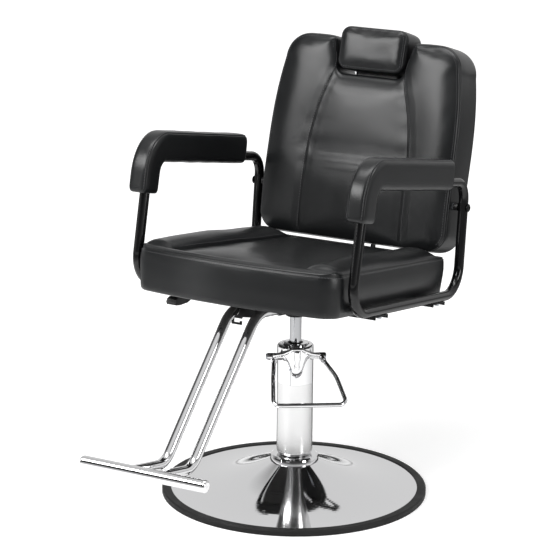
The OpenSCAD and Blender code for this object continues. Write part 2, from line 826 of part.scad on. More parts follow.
// The hub that turns on the spigot, the plate above it and four gussets between them
module hub_bracket() {
    plate_top = -cross_h;
    plate_l = rear_cross_y + cross_w - front_cross_y;
    color(black_paint) difference() {
        union() {
            difference() {
                union() {
                    translate([0, 0, hub_foot_z]) cylinder(r = hub_r, h = 60);
                    for (a = [45 : 90 : 359]) rotate([90, 0, a])
                        translate([0, hub_foot_z, -2.5]) linear_extrude(5)
                            polygon([[0, 12], [hub_r, 12], [68, 32], [68, 60], [0, 60]]);
                }
                above_seat_plane(plate_top - hub_plate_t / 2);
            }
            seat_frame() translate([0, 0, plate_top - hub_plate_t]) difference() {
                translate([-hub_plate_half_w, front_cross_y, 0])
                    cube([2 * hub_plate_half_w, plate_l, hub_plate_t]);
                translate([-foot_x - foot_d / 2 - 2, front_cross_y - cut, -cut])
                    cube([2 * foot_x + foot_d + 4, foot_rear_y + 3 - front_cross_y + cut, hub_plate_t + 2 * cut]);
                translate([-strut_r - 6, 118, -cut]) cube([2 * strut_r + 12, 100, hub_plate_t + 2 * cut]);
            }
        }
        translate([0, 0, hub_foot_z - cut])
            cylinder(r = spigot_d / 2 + run_gap, h = spigot_h - washer_t + 1.5 + cut);
        seat_frame() hub_bolt_places() translate([0, 0, -60]) cylinder(d = bolt_d + 2 * fit_gap, h = 80);
    }
}

module hub_bolt_places() {
    for (y = [front_cross_y, rear_cross_y])
        both_sides() translate([hub_plate_half_w - 14, y + cross_w / 2, 0]) children();
}

module hub_bolts() {
    color(zinc) seat_frame() hub_bolt_places()
        translate([0, 0, -cross_h - hub_plate_t]) mirror([0, 0, 1])
            hex_bolt(bolt_d, bolt_flats, bolt_head_h, cross_h + hub_plate_t + board_t - 3);
}

// A pressed steel cross member under the board, with its flanges turned down
module cross_member(y) {
    color(black_paint) seat_frame() difference() {
        translate([-cross_half, y, -cross_h]) cube([2 * cross_half, cross_w, cross_h]);
        translate([-cross_half - cut, y + cross_t, -cross_h - cut])
            cube([2 * cross_half + 2 * cut, cross_w - 2 * cross_t, cross_h - cross_t + cut]);
        hub_bolt_places() translate([0, 0, -60]) cylinder(d = bolt_d + 2 * fit_gap, h = 80);
        arm_bolt_places() translate([0, 0, -60]) cylinder(d = arm_bolt_d + 2 * fit_gap, h = 80);
        clamp_bolt_places() translate([0, 0, -60]) cylinder(d = bolt_d + 2 * fit_gap, h = 80);
    }
}

module front_cross_member() {
    cross_member(front_cross_y);
}

module rear_cross_member() {
    cross_member(rear_cross_y);
}

module arm_bolt_places() {
    for (y = [front_cross_y, rear_cross_y])
        both_sides() translate([arm_x, y + cross_w / 2, 0]) children();
}

// The black-stained plywood board inside the cushion's pocket
module seat_board() {
    line = inset_outline(outline_of(seat_grid), seat_pocket_inset + soft_gap);
    color(black_wood) seat_frame() difference() {
        linear_extrude(board_t) polygon(line);
        hub_bolt_places() translate([0, 0, -cut]) cylinder(d = bolt_d, h = board_t - 3 + cut);
        clamp_bolt_places() translate([0, 0, -cut]) cylinder(d = bolt_d, h = board_t - 3 + cut);
    }
}

// Half the width of the recessed centre panel, at a share of the way to the back
function panel_edge(q) = seat_half_w - bolster_w * (1 + 0.3 * q);

function seat_point(p, q) =
    let (w = seat_half_w,
         h = (seat_front + seat_back) / 2,
         edge = panel_edge(q),
         side = abs(p) < panel_station ? abs(p) / panel_station * edge
             : edge + (abs(p) - panel_station) / (1 - panel_station) * (w - edge),
         at = rounded(sign(p) * side, (2 * q - 1) * h, w, h, lerp(seat_corner_r, 14, q)),
         x = at[0] + 2 * p * p * p * sin(180 * q))
        [x, at[1] + (seat_back - seat_front) / 2
            - seat_bow * (1 - pow(x / w, 2)) * pow(1 - q, 2)];

panel_station = 0.62;
seat_across = mirrored([0, 0.2, 0.38, 0.5, 0.57, panel_station, 0.67, 0.76, 0.86, 0.94, 1]);
seat_along = [0, 0.02, 0.045, 0.07, 0.1, 0.16, 0.3, 0.5, 0.7, 0.84, 0.92, 0.965, 1];
seat_grid = [for (q = seat_along) [for (p = seat_across) seat_point(p, q)]];

// The rolled side bolsters, the narrow front roll and the slightly crowned centre panel
function seat_relief(x, y, d) =
    let (q = (y + seat_front) / (seat_front + seat_back),
         to_back = seat_back - y,
         from_side = seat_half_w - abs(x),
         width = seat_half_w - panel_edge(min(1, max(0, q))),
         from_front = y + seat_front + seat_bow * (1 - pow(x / seat_half_w, 2)),
         bolster = bolster_rise * pow(max(0, sin(180 * min(1, from_side / width))), 0.6),
         front = 7 * max(0, sin(180 * min(1, from_front / 34))),
         panel = 5 * smooth((from_side - width) / 40) * smooth((from_front - 34) / 40))
        max(bolster * smooth(to_back / 60) * smooth(from_front / 36), front, panel)
            * smooth((to_back + 5) / 50);

// The seat cushion: side walls that draw in at the foot, a side seam, bolsters and panel
module seat_cushion() {
    pocket = board_t + soft_gap;
    color(black_vinyl) seat_frame() cushion(seat_grid, [
        [seat_pocket_inset, pocket], [seat_pocket_inset, seat_lip], [5, seat_lip],
        [1, seat_lip + 6], [-2, lerp(seat_lip, seat_seam, 0.35)],
        [-side_bulge, lerp(seat_lip, seat_seam, 0.65)],
        [-2.5, seat_seam - 8], [0, seat_seam]
    ], function (x, y, d) seat_relief(x, y, d));
}

// ------------------------------------------------------------------ arms

arm_path = [
    [-arm_front, arm_d / 2],
    [arm_front_lean - arm_front, arm_d / 2 + arm_front_h],
    [arm_rear - arm_rear_lean, arm_d / 2 + arm_rear_h],
    [arm_rear, arm_d / 2]
];
arm_radii = [arm_low_r, arm_high_r, arm_high_r, arm_low_r];

// The plane of an arm loop: the path's X runs back and its Y runs up
module arm_plane(side) {
    seat_frame() translate([side * arm_x, 0, 0]) rotate([90, 0, 90]) children();
}

module arm_loop(side) {
    color(black_paint) difference() {
        arm_plane(side) bent_tube(arm_path, arm_radii, arm_d, arm_wall, true);
        recline_frame() translate([side * arm_x - 20, 0, 0]) rotate([0, 90, 0])
            cylinder(d = recline_bolt_d + 2 * fit_gap, h = 40);
        seat_frame() arm_bolt_places() translate([0, 0, -cut]) cylinder(d = arm_bolt_d + 2 * fit_gap, h = 5);
    }
}

module arm_loop_left() {
    arm_loop(1);
}

module arm_loop_right() {
    arm_loop(-1);
}

// The bolts that hold the arm loops to the cross members
module arm_bolts() {
    color(zinc) seat_frame() arm_bolt_places() translate([0, 0, -cross_t])
        mirror([0, 0, 1]) hex_bolt(arm_bolt_d, 10, 4, cross_t + 4);
}

// A pad's path: down the front post, round the upper bend and back along the top
function pad_frame(run) =
    let (corner = arm_path[1],
         up = heading(arm_path[0], corner),
         back = heading(corner, arm_path[2]),
         length = bend_cut(arm_path, arm_radii, 1),
         centre = bend_centre(arm_path, arm_radii, 1))
        run <= -length ? [corner + run * along(up), along(up + 90)]
        : run >= length ? [corner + run * along(back), along(back + 90)]
        : let (a = lerp(up, back, (run + length) / (2 * length)) + 90)
            [centre + arm_high_r * along(a), along(a)];

pad_runs = concat(
    [for (k = [0 : 3]) -pad_drop + [0, 2.5, 8, 20][k]],
    [for (k = [0 : 8]) lerp(-48, 48, k / 8)],
    [for (k = [0 : 4]) lerp(90, pad_l - 40, k / 4)],
    [for (k = [0 : 3]) pad_l - [22, 9, 2.5, 0][k]]
);

// A pad's section: a full round-edged block, thicker over the top rail than on the post,
// which closes in at both ends
function pad_section(run) =
    let (t = smooth((run + 45) / 90),
         out = lerp(pad_front, pad_top, t),
         in = lerp(pad_behind, pad_under, t),
         end = min(run + pad_drop, pad_l - run),
         full = lerp(0.82, 1, roll(end / 12)))
        [for (i = [0 : 15]) let (a = 270 + i * 22.5)
            [pad_w / 2 * full * sign(cos(a)) * pow(abs(cos(a)), 0.5),
             (out - in) / 2 * full + (out + in) / 2 * full * sign(sin(a)) * pow(abs(sin(a)), 0.5)]];

module arm_pad(side) {
    color(black_vinyl) arm_plane(side) sleeve_pad(
        [for (run = pad_runs) pad_frame(run)],
        function (f) pad_section(pad_runs[f]),
        arm_d / 2 + soft_gap
    );
}

module arm_pad_left() {
    arm_pad(1);
}

module arm_pad_right() {
    arm_pad(-1);
}

// ------------------------------------------------------------------ footrest

foot_path = [
    [foot_rear_y, foot_run_z],
    [-foot_top, foot_run_z],
    [-foot_low, -foot_drop],
    [-foot_low - foot_toe, toe_z]
];

module foot_plane(side) {
    seat_frame() translate([side * foot_x, 0, 0]) rotate([90, 0, 90]) children();
}

// The two bent chrome tubes, coped to the cross bar
module footrest_tubes() {
    color(chrome) difference() {
        for (side = [-1, 1]) foot_plane(side)
            bent_tube(foot_path, [0, tube_bend_r, toe_bend_r, 0], foot_d, foot_wall);
        toe_bar_axis() cylinder(d = toe_bar_d, h = toe_bar_l, center = true);
        seat_frame() clamp_bolt_places() translate([0, 0, -60]) cylinder(d = bolt_d, h = 60);
    }
}

module toe_bar_axis() {
    seat_frame() translate([0, foot_path[3][0], foot_path[3][1]]) rotate([0, 90, 0]) children();
}

module footrest_bar() {
    color(chrome) toe_bar_axis() translate([0, 0, -toe_bar_l / 2])
        tube(toe_bar_d / 2, toe_bar_d / 2 - 2, toe_bar_l);
}

// The plated caps pressed into the cross bar's ends
module footrest_caps() {
    cap_l = 6.5;
    r = toe_bar_d / 2;
    color(chrome) toe_bar_axis() for (side = [-1, 1]) scale(side)
        translate([0, 0, toe_bar_l / 2]) rotate_extrude() polygon(concat(
            [[0, -16], [r - 2, -16], [r - 2, 0], [r, 0]],
            arc([r - 5, cap_l - 5], 5, 0, 80, 5),
            [[0, cap_l]]
        ));
}

module clamp_bolt_places() {
    for (y = [-120, -104]) translate([0, y, 0]) children();
}

// The saddle that clamps both tubes up against the front cross member
module footrest_clamps() {
    saddle_l = 36;
    color(black_paint) seat_frame() difference() {
        translate([0, -112 + saddle_l / 2, 0]) rotate([90, 0, 0]) linear_extrude(saddle_l)
            difference() {
                union() {
                    translate([-foot_x, foot_run_z - 2]) square([2 * foot_x, 4]);
                    for (side = [-1, 1]) translate([side * foot_x, foot_run_z]) circle(d = foot_d + 6);
                }
                for (side = [-1, 1]) translate([side * foot_x, foot_run_z]) circle(d = foot_d);
                translate([-70, foot_run_z + 5.5]) square([140, 40]);
            }
        clamp_bolt_places() translate([0, 0, -60]) cylinder(d = bolt_d + 2 * fit_gap, h = 60);
    }
}

module clamp_bolts() {
    color(zinc) seat_frame() clamp_bolt_places() translate([0, 0, foot_run_z - 2])
        mirror([0, 0, 1]) hex_bolt(bolt_d, bolt_flats, bolt_head_h, -foot_run_z + 2 + board_t - 3);
}

// The black spreader between the two tubes, with the open hook under its right end
module footrest_hanger() {
    y = -206;
    plate_t = 4;
    z = foot_run_z - 1;
    hook_w = 24;
    hook_h = 18;
    bar = 4.5;
    color(black_paint) seat_frame() {
        difference() {
            translate([0, y + plate_t / 2, z]) rotate([90, 0, 0]) linear_extrude(plate_t)
                polygon([
                    [-foot_x, 8], [foot_x, 8], [foot_x, -6], [14, -12], [-12, -15],
                    [-38, -15], [-40, -7], [-foot_x - 6, -2]
                ]);
            for (side = [-1, 1]) translate([side * foot_x, y, foot_run_z - 1.6]) rotate([90, 0, 0])
                cylinder(d = foot_d + 1.5, h = 20, center = true);
        }
        translate([-38, y, z - 14]) rotate([90, 0, 0]) linear_extrude(plate_t, center = true)
            difference() {
                translate([0, -hook_h]) square([hook_w, hook_h]);
                translate([bar, bar - hook_h]) square([hook_w - 2 * bar, hook_h - 2 * bar]);
                translate([hook_w / 2, 8 - hook_h]) square([hook_w, hook_h - bar - 8]);
            }
    }
}

// ------------------------------------------------------------------ recline pivot

// The recline axis as the seat carries it: X is the axis and Z is up in the seat frame
module recline_frame() {
    seat_frame() translate([0, recline_y, recline_h]) children();
}

// The shoulder bolts through the rear posts, on which the backrest turns
module recline_bolts() {
    out = arm_x + arm_d / 2 + 1;
    color(black_paint) recline_frame() both_sides() {
        translate([insert_in + 4, 0, 0]) rotate([0, 90, 0])
            cylinder(d = recline_bolt_d, h = out - insert_in - 4);
        translate([out, 0, 0]) rotate([0, 90, 0]) difference() {
            rotate_extrude() polygon([[0, 0], [9, 0], [9, 1.2], [7.8, 1.2], [7.4, 2.4], [5.6, 3.4], [0, 3.8]]);
            translate([0, 0, 1.8]) cylinder(d = 5, h = 5, $fn = 6);
        }
    }
}

// The spacers between the rear posts and the backrest
module recline_spacers() {
    inner = back_half_w + 4;
    color(black_plastic) recline_frame() both_sides() translate([inner, 0, 0]) rotate([0, 90, 0])
        tube(insert_r, recline_bolt_d / 2 + fit_gap, arm_x - arm_d / 2 - inner);
}

// ------------------------------------------------------------------ release handle

// The folded bracket under the front cross member, with the handle's pin
module handle_bracket() {
    cheek_t = 2.5;
    color(black_paint) seat_frame() {
        for (side = [-1, 1]) translate([handle_x + side * (handle_w / 2 - cheek_t / 2), 0, 0])
            rotate([90, 0, 90]) linear_extrude(cheek_t, center = true) polygon([
                [handle_y + 4, -cross_h], [handle_y + 38, -cross_h],
                [handle_y + 38, handle_z - 2], [handle_y + 30, handle_z - 8],
                [handle_y + 22, handle_z - 4]
            ]);
        translate([handle_x - handle_w / 2, handle_y + 34, handle_z - 5])
            cube([handle_w, cheek_t, -cross_h - handle_z + 5]);
        translate([handle_x, handle_y + 28, handle_z]) rotate([0, 90, 0])
            cylinder(d = 5, h = handle_w, center = true);
    }
}

// The paddle that the hand squeezes to free the strut
module release_handle() {
    w = handle_w - 6;
    color(black_plastic) seat_frame() difference() {
        translate([handle_x - w / 2, 0, 0]) rotate([90, 0, 90]) linear_extrude(w) difference() {
            union() {
                translate([handle_y + 28, handle_z]) circle(r = 5.5);
                translate([handle_y, handle_z]) polygon([
                    [28, 5], [16, 5], [-30, 3], [-40, -1], [-43, -8], [-39, -14],
                    [-24, -15], [8, -12], [26, -5.2]
                ]);
            }
        }
        translate([handle_x, handle_y + 28, handle_z]) rotate([0, 90, 0])
            cylinder(d = 5 + 2 * run_gap, h = handle_w, center = true);
    }
}

// The sheathed cable from the handle to the strut's head
module release_cable() {
    start = handle_y + 36.5;
    color(black_rubber) seat_frame() translate([0, 0, cable_z])
        bent_tube([[handle_x, start], [handle_x, strut_front_y], [-head_half_w, strut_front_y]],
            [0, cable_bend_r, 0], 2 * cable_r);
}

// ------------------------------------------------------------------ recline strut

// The two cheeks and the pin that hold the strut's head under the hub plate
module strut_anchor() {
    cheek_t = 4;
    color(black_paint) difference() {
        union() {
            difference() {
                both_sides() translate([head_half_w + soft_gap, strut_front_y - 13, strut_z - 13])
                    cube([cheek_t, 26, 60]);
                above_seat_plane(-cross_h - hub_plate_t);
            }
            translate([0, strut_front_y, strut_z]) rotate([0, 90, 0])
                cylinder(d = strut_pin_d, h = 2 * head_half_w + 2 * cheek_t + 6, center = true);
        }
        seat_frame() translate([-60, strut_front_y, cable_z]) rotate([0, 90, 0])
            cylinder(r = cable_r + soft_gap, h = 60);
    }
}

// The release head on the end of the strut's rod
module strut_head() {
    color(black_paint) difference() {
        translate([-head_half_w, strut_front_y - 11, strut_z - 11]) cube([2 * head_half_w, 22, 30]);
        translate([0, strut_front_y, strut_z]) rotate([0, 90, 0])
            cylinder(d = strut_pin_d, h = 60, center = true);
        translate([0, strut_front_y, strut_z]) rotate([-90, 0, 0]) translate([0, 0, 5])
            cylinder(r = strut_rod_r, h = 30);
    }
}

module strut_rod() {
    color(chrome) translate([0, strut_front_y + 5, strut_z]) rotate([-90, 0, 0])
        cylinder(r = strut_rod_r, h = strut_front + 14 - strut_front_y);
}

// The gas strut's cylinder with the eye at its back end
module strut_cylinder() {
    color(black_paint) difference() {
        union() {
            translate([0, strut_front, strut_z]) rotate([-90, 0, 0])
                cylinder(r = strut_r, h = strut_tail - strut_front);
            translate([-eye_half_w, strut_back_y - 15, strut_z - strut_r])
                cube([2 * eye_half_w, 15, 2 * strut_r]);
            translate([0, strut_back_y, strut_z]) rotate([0, 90, 0])
                cylinder(r = strut_r, h = 2 * eye_half_w, center = true);
        }
        translate([0, strut_front - cut, strut_z]) rotate([-90, 0, 0])
            cylinder(r = strut_rod_r + run_gap, h = strut_tail - strut_front - 10);
        translate([0, strut_back_y, strut_z]) rotate([0, 90, 0])
            cylinder(r = strut_pin_d / 2 + strut_eye_play, h = 60, center = true);
    }
}

// ------------------------------------------------------------------ backrest

// The right half of the outline's top edge, from the middle of the notch's floor, round
// its corner, up its wall, over the shoulder and down to the middle of the outer corner
back_top = concat(
    [[0, notch_floor], [28, notch_floor]],
    arc([notch_half - 33, notch_floor + notch_corner_r], notch_corner_r, -90, 0, 3),
    [[notch_half - 4, back_above - 28]],
    arc([notch_half + 12, back_above - 13], 12.5, 175, 90, 2),
    [[back_half_w - 100, back_above]],
    arc([back_half_w - 75, back_above - 59], 59, 90, 40, 2)
);
back_halves = len(back_top) - 1;
seam_column = 4;
back_foot = back_swell + 1.5 - back_below;
back_corner_r = 45;

// The right half of its bottom edge, with as many points
back_bottom = concat(
    [for (m = [0 : seam_column]) [seam_x(back_foot) * m / seam_column, back_foot]],
    [for (m = [1 : back_halves - seam_column - 2])
        [lerp(seam_x(back_foot), back_half_w - back_corner_r, m / (back_halves - seam_column - 2)), back_foot]],
    arc([back_half_w - back_corner_r, back_foot + back_corner_r], back_corner_r, -70, -45, 1)
);

// The side seam of the centre panel runs in towards the notch
function seam_x(s) = notch_half + 30 - 0.00092 * pow(max(0, s - 60), 2);

// The side of the outline at height s
function back_side(s) =
    let (low = back_foot + back_corner_r, high = back_above - 59)
        s < low ? back_half_w - back_corner_r + sqrt(max(0, pow(back_corner_r, 2) - pow(low - s, 2)))
        : s > high ? back_half_w - 75 + sqrt(max(0, 59 * 59 - pow(s - high, 2)))
        : back_half_w - 16 * pow(max(0, (s - 90) / (high - 90)), 2.5);

back_rows = [0, 0.03, 0.065, 0.11, 0.2, 0.31, 0.4, 0.46, 0.52, 0.62, 0.74, 0.84, 0.91, 0.96, 1];

function back_point(i, q) =
    let (m = abs(i - back_halves),
         top = back_top[m],
         bottom = back_bottom[m],
         at = lerp(bottom, top, q),
         outer = lerp(back_bottom[back_halves], back_top[back_halves], q),
         seam = lerp(back_bottom[seam_column], back_top[seam_column], q),
         to_side = max(0, (m - seam_column) / (back_halves - seam_column)),
         to_seam = m < seam_column ? m / seam_column : 1 - to_side,
         x = at[0] + to_side * to_side * (back_side(outer[1]) - outer[0])
             + to_seam * (seam_x(seam[1]) - seam[0]) * (1 - pow(q, 6)))
        [sign(i - back_halves) * x, at[1]];

back_grid = [for (q = back_rows) [for (i = [0 : 2 * back_halves]) back_point(i, q)]];

// The crown of the face, its two seams and the crease across the centre panel
function back_relief(x, s, d) =
    let (from_seam = abs(x) - seam_x(s),
         crown = back_crown * roll(d / 46),
         seam = 5 * bump(from_seam / 16) * smooth(d / 20),
         crease = from_seam < 0 ? 5 * bump((s - 93) / 26) * smooth(-from_seam / 20) : 0)
        max(0.5, crown - seam - crease);

// The back cushion: a shell of foam and vinyl round the frame, open at the back
module back_cushion() {
    color(black_vinyl) back_frame_axes() difference() {
        cushion(back_grid, [
            [back_pocket_inset, pocket_floor], [back_pocket_inset, back_rear], [3, back_rear],
            [0, back_rear + 4], [-back_swell, lerp(back_rear, back_front, 0.4)],
            [-back_swell, lerp(back_rear, back_front, 0.75)], [0, back_front]
        ], function (x, s, d) back_relief(x, s, d));
        both_sides() translate([insert_in, 0, 0]) rotate([0, 90, 0])
            cylinder(r = insert_r + soft_gap, h = 60);
        both_sides() translate([post_x, notch_floor - 30, post_z]) rotate([-90, 0, 0])
            cylinder(r = sleeve_post_r + soft_gap, h = 60);
    }
}

// The wooden frame that carries the foam
module back_frame() {
    line = inset_outline(outline_of(back_grid), back_pocket_inset + soft_gap);
    rail_front = pocket_floor - soft_gap;
    rail_rear = back_rear + panel_t;
    color(plywood) back_frame_axes() difference() {
        translate([0, 0, rail_rear]) linear_extrude(rail_front - rail_rear) polygon(line);
        translate([0, 0, rail_rear - cut]) linear_extrude(rail_front - rail_rear + 2 * cut)
            polygon(back_window);
        both_sides() translate([insert_in, 0, 0]) rotate([0, 90, 0]) cylinder(r = insert_r, h = 60);
        both_sides() translate([post_x, notch_floor - 80, post_z]) rotate([-90, 0, 0])
            cylinder(r = sleeve_post_r, h = 120);
    }
}

// The opening inside the frame: its sides run in with the posts above
back_window = [
    [-back_half_w + 40, back_foot + 50], [back_half_w - 40, back_foot + 50],
    [back_half_w - 40, 170], [notch_half + 40, notch_floor - 46],
    [-notch_half - 40, notch_floor - 46], [-back_half_w + 40, 170]
];

// The upholstered board that closes the back
module back_panel() {
    line = inset_outline(outline_of(back_grid), back_pocket_inset + soft_gap);
    color(black_vinyl) back_frame_axes() translate([0, 0, back_rear])
        linear_extrude(panel_t) polygon(line);
}

// The steel bushes in the frame's sides that turn on the recline bolts
module back_inserts() {
    color(steel) back_frame_axes() both_sides() translate([insert_in, 0, 0]) rotate([0, 90, 0])
        tube(insert_r, recline_bolt_d / 2 + run_gap, back_half_w + 3.7 - insert_in);
}

// The point of the back frame where the strut's pin goes
strut_pin = let (dy = strut_back_y - recline_axis[0], dz = strut_pin_z - recline_axis[1])
    [dy * sin(back_angle) + dz * cos(back_angle), -dy * cos(back_angle) + dz * sin(back_angle)];

// The steel bracket on the back, with two cheeks and a pin for the strut
module back_bracket() {
    plate_w = 80;
    cheek_t = 4;
    s = strut_pin[0];
    t = strut_pin[1];
    rear = back_rear;
    color(black_paint) back_frame_axes() {
        translate([-plate_w / 2, back_foot + 6, rear - 5]) cube([plate_w, 66, 5]);
        both_sides() translate([eye_half_w + 0.5, 0, 0]) rotate([90, 0, 90]) linear_extrude(cheek_t) {
            polygon([
                [s + 4, t - 11], [s - 3, t + 12], [back_foot + 10, rear - 5],
                [back_foot + 66, rear - 5], [back_foot + 40, rear - 16]
            ]);
            translate([s, t]) circle(r = 12);
        }
        translate([0, s, t]) rotate([0, 90, 0])
            cylinder(d = strut_pin_d, h = 2 * eye_half_w + 2 * cheek_t + 6, center = true);
    }
}

// ------------------------------------------------------------------ headrest

// The plastic guide sleeves that the posts slide in
module post_sleeves() {
    color(black_plastic) back_frame_axes() both_sides() translate([post_x, 0, post_z]) rotate([-90, 0, 0]) {
        translate([0, 0, notch_floor - 62])
            tube(sleeve_post_r, post_d / 2 + run_gap, 62 + back_swell + soft_gap);
        translate([0, 0, notch_floor + back_swell + soft_gap])
            tube(sleeve_post_r + 3, post_d / 2 + run_gap, 3);
    }
}

module headrest_posts() {
    color(chrome) back_frame_axes() both_sides() translate([post_x, notch_floor - 121, post_z])
        rotate([-90, 0, 0]) cylinder(d = post_d, h = 121 + head_foot - notch_floor + 46);
}

// The black plastic bridge under the headrest that its posts pass through
module headrest_plate() {
    low = notch_floor + back_swell + soft_gap + 3.6;
    color(black_plastic) back_frame_axes() difference() {
        translate([0, low, post_z]) rotate([-90, 0, 0])
            rounded_plate(2 * post_x + 24, 24, head_foot - 1.2 - low, 9);
        both_sides() translate([post_x, low - cut, post_z]) rotate([-90, 0, 0])
            cylinder(d = post_d, h = 30);
    }
}

head_across = mirrored([0, 0.3, 0.58, 0.8, 0.93, 1]);
head_up = [for (v = mirrored([0, 0.4, 0.75, 0.92, 1])) (v + 1) / 2];
head_grid = [for (q = head_up) [for (p = head_across)
    let (at = rounded(p * head_w / 2, (2 * q - 1) * head_h / 2, head_w / 2, head_h / 2, head_corner_r))
        [at[0] + 0.4 * p * p * p * sin(180 * q), at[1] + head_foot + head_h / 2 - 0.8 * (1 - p * p) * (1 - 2 * q)]]];

// The headrest cushion: a full round-edged block with holes for its posts
module headrest_pad() {
    rear = head_front - head_t;
    color(black_vinyl) back_frame_axes() difference() {
        cushion(head_grid, [
            [14, rear - 2], [5, rear + 2], [1.5, rear + 9], [0, rear + 0.4 * head_t],
            [0.5, head_front - 14], [3, head_front - 4]
        ], function (x, s, d) 4 + 9 * roll(d / 34));
        both_sides() translate([post_x, head_foot - 20, post_z]) rotate([-90, 0, 0])
            cylinder(r = post_d / 2 + soft_gap, h = 20.3 + 46);
    }
}

base_plate();
base_ring();
base_disc();
pump_cylinder();
flange_bolts();
flange_nuts();
collar_ring();
lower_sleeve();
head_cover();
pump_head();
cover_screw();
gland_cap();
rod_wiper();
lever_pins();
pump_plunger();
rocker();
pedal_loop();
piston_rod();
piston_head();
thrust_washer();
hub_bracket();
hub_bolts();
front_cross_member();
rear_cross_member();
seat_board();
seat_cushion();
arm_loop_left();
arm_loop_right();
arm_bolts();
arm_pad_left();
arm_pad_right();
footrest_tubes();
footrest_bar();
footrest_caps();
footrest_clamps();
clamp_bolts();
footrest_hanger();
recline_bolts();
recline_spacers();
release_handle();
handle_bracket();
release_cable();
strut_anchor();
strut_head();
strut_rod();
strut_cylinder();
back_cushion();
back_frame();
back_panel();
back_inserts();
back_bracket();
post_sleeves();
headrest_posts();
headrest_plate();
headrest_pad();
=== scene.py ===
# %% [markdown]
# # A hydraulic barber chair
#
# The chair stands on a round chrome base. A pump in the column lifts it when the foot
# loop is pressed, the seat turns on the pump's rod, and the back tips between two
# bent-tube arm loops. The metal comes from the CAD frame and only gets its finishes
# here. Everything that an upholsterer would sew is made again as fine surfaces,
# because foam under vinyl has crowns, seams and puckers that a CAD solid leaves out.

import json
import math

import bpy
import numpy as np
from mathutils import Matrix, Vector
from mathutils.bvhtree import BVHTree
from mathutils.kdtree import KDTree


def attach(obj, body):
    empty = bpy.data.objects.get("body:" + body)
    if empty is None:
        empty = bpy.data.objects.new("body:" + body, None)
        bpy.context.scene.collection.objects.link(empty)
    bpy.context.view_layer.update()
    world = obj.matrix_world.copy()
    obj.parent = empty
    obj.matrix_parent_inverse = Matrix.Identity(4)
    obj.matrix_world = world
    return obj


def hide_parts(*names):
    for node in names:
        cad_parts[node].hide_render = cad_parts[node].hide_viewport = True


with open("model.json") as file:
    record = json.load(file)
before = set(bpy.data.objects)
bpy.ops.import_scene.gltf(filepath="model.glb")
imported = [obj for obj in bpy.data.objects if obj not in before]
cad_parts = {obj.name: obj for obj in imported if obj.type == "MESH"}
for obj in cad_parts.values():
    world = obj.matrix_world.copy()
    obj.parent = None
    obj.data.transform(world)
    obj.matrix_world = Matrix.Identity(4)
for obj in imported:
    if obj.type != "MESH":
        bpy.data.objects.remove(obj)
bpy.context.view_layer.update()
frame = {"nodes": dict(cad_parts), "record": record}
MM = 0.001


def placed(name, data):
    """A new object of that data, linked into the scene."""
    made = bpy.data.objects.new(name, data)
    bpy.context.scene.collection.objects.link(made)
    return made


# %% [markdown]
# ## Camera
#
# The camera stands in front of the chair, to the sitter's left and a little above the
# headrest, a long way off behind a long lens, so the upright lines stay nearly
# parallel. Its place and its three turns are numbers, and the axes follow from them.

# %% The camera
AZIMUTH, DISTANCE, EYE_HEIGHT = 29.0, 5088.598, 1864.243
PITCH, YAW, ROLL = 15.172, 0.398, 0.511
FOCAL_PIXELS, IMAGE_PIXELS, SENSOR = 2409.317, 560, 36.0


def camera_axes(azimuth, pitch, roll):
    """Right, up and backward: forward looks at the chair from the azimuth and down by
    the pitch, right is level, and the roll turns right and up about forward."""
    a, p, r = map(math.radians, (azimuth, pitch, roll))
    forward = Vector((-math.sin(a) * math.cos(p), math.cos(a) * math.cos(p), -math.sin(p)))
    right = Vector((math.cos(a), math.sin(a), 0))
    up = right.cross(forward)
    turned = right * math.cos(r) + up * math.sin(r)
    return turned, up * math.cos(r) - right * math.sin(r), -forward


turn = math.radians(AZIMUTH)
eye = Vector((DISTANCE * math.sin(turn), -DISTANCE * math.cos(turn), EYE_HEIGHT)) * MM
axes = Matrix(camera_axes(AZIMUTH + YAW, PITCH, ROLL)).transposed()
camera = placed("camera", bpy.data.cameras.new("camera"))
camera.data.sensor_width = SENSOR
camera.data.lens = FOCAL_PIXELS / IMAGE_PIXELS * SENSOR
camera.data.clip_end = 60
camera.matrix_world = Matrix.Translation(eye) @ axes.to_4x4()
bpy.context.scene.camera = camera
print("lens", round(camera.data.lens, 2), "mm, eye", [round(c, 3) for c in eye])

# %% [markdown]
# ## Helpers for finishes
#
# A finish is a small tree of nodes on a Principled shader. One helper turns an sRGB hex
# value to the linear numbers that Blender wants and one adds a node with its settings
# and links, and the others stand on these two. Most finishes send noise between its
# usual bounds to a range of roughness, and a second, finer noise to a bump.


# %% Colour and node helpers
def linear(code):
    """sRGB hex to linear: below 0.04045 divide by 12.92, above it the 2.4 power."""
    s = np.array([int(code[i : i + 2], 16) for i in (1, 3, 5)]) / 255
    rgb = np.where(s <= 0.04045, s / 12.92, ((s + 0.055) / 1.055) ** 2.4)
    return (*map(float, rgb), 1.0)


def add(tree, kind, inputs=None, **settings):
    """One node: settings are its properties, inputs its socket values or links."""
    node = tree.nodes.new("ShaderNode" + kind)
    for name, value in settings.items():
        setattr(node, name, value)
    for name, value in (inputs or {}).items():
        if isinstance(value, bpy.types.NodeSocket):
            tree.links.new(value, node.inputs[name])
        else:
            node.inputs[name].default_value = value
    return node


def finish(name, colour, **shader):
    """A material with a Principled shader of that colour, and its Object coordinates."""
    made = bpy.data.materials.new(name)
    made.use_nodes = True
    tree = made.node_tree
    body = tree.nodes["Principled BSDF"]
    body.inputs["Base Color"].default_value = linear(colour)
    for key, value in shader.items():
        body.inputs[key.replace("_", " ")].default_value = value
    place = add(tree, "TexCoord").outputs["Object"]
    made.diffuse_color = linear(colour)
    return made, tree, body, place


def spread(tree, value, low, high, out_low, out_high):
    """The value's stretch from low to high, carried to out_low and out_high."""
    ends = {0: value, 1: low, 2: high, 3: out_low, 4: out_high}
    return add(tree, "MapRange", ends).outputs[0]


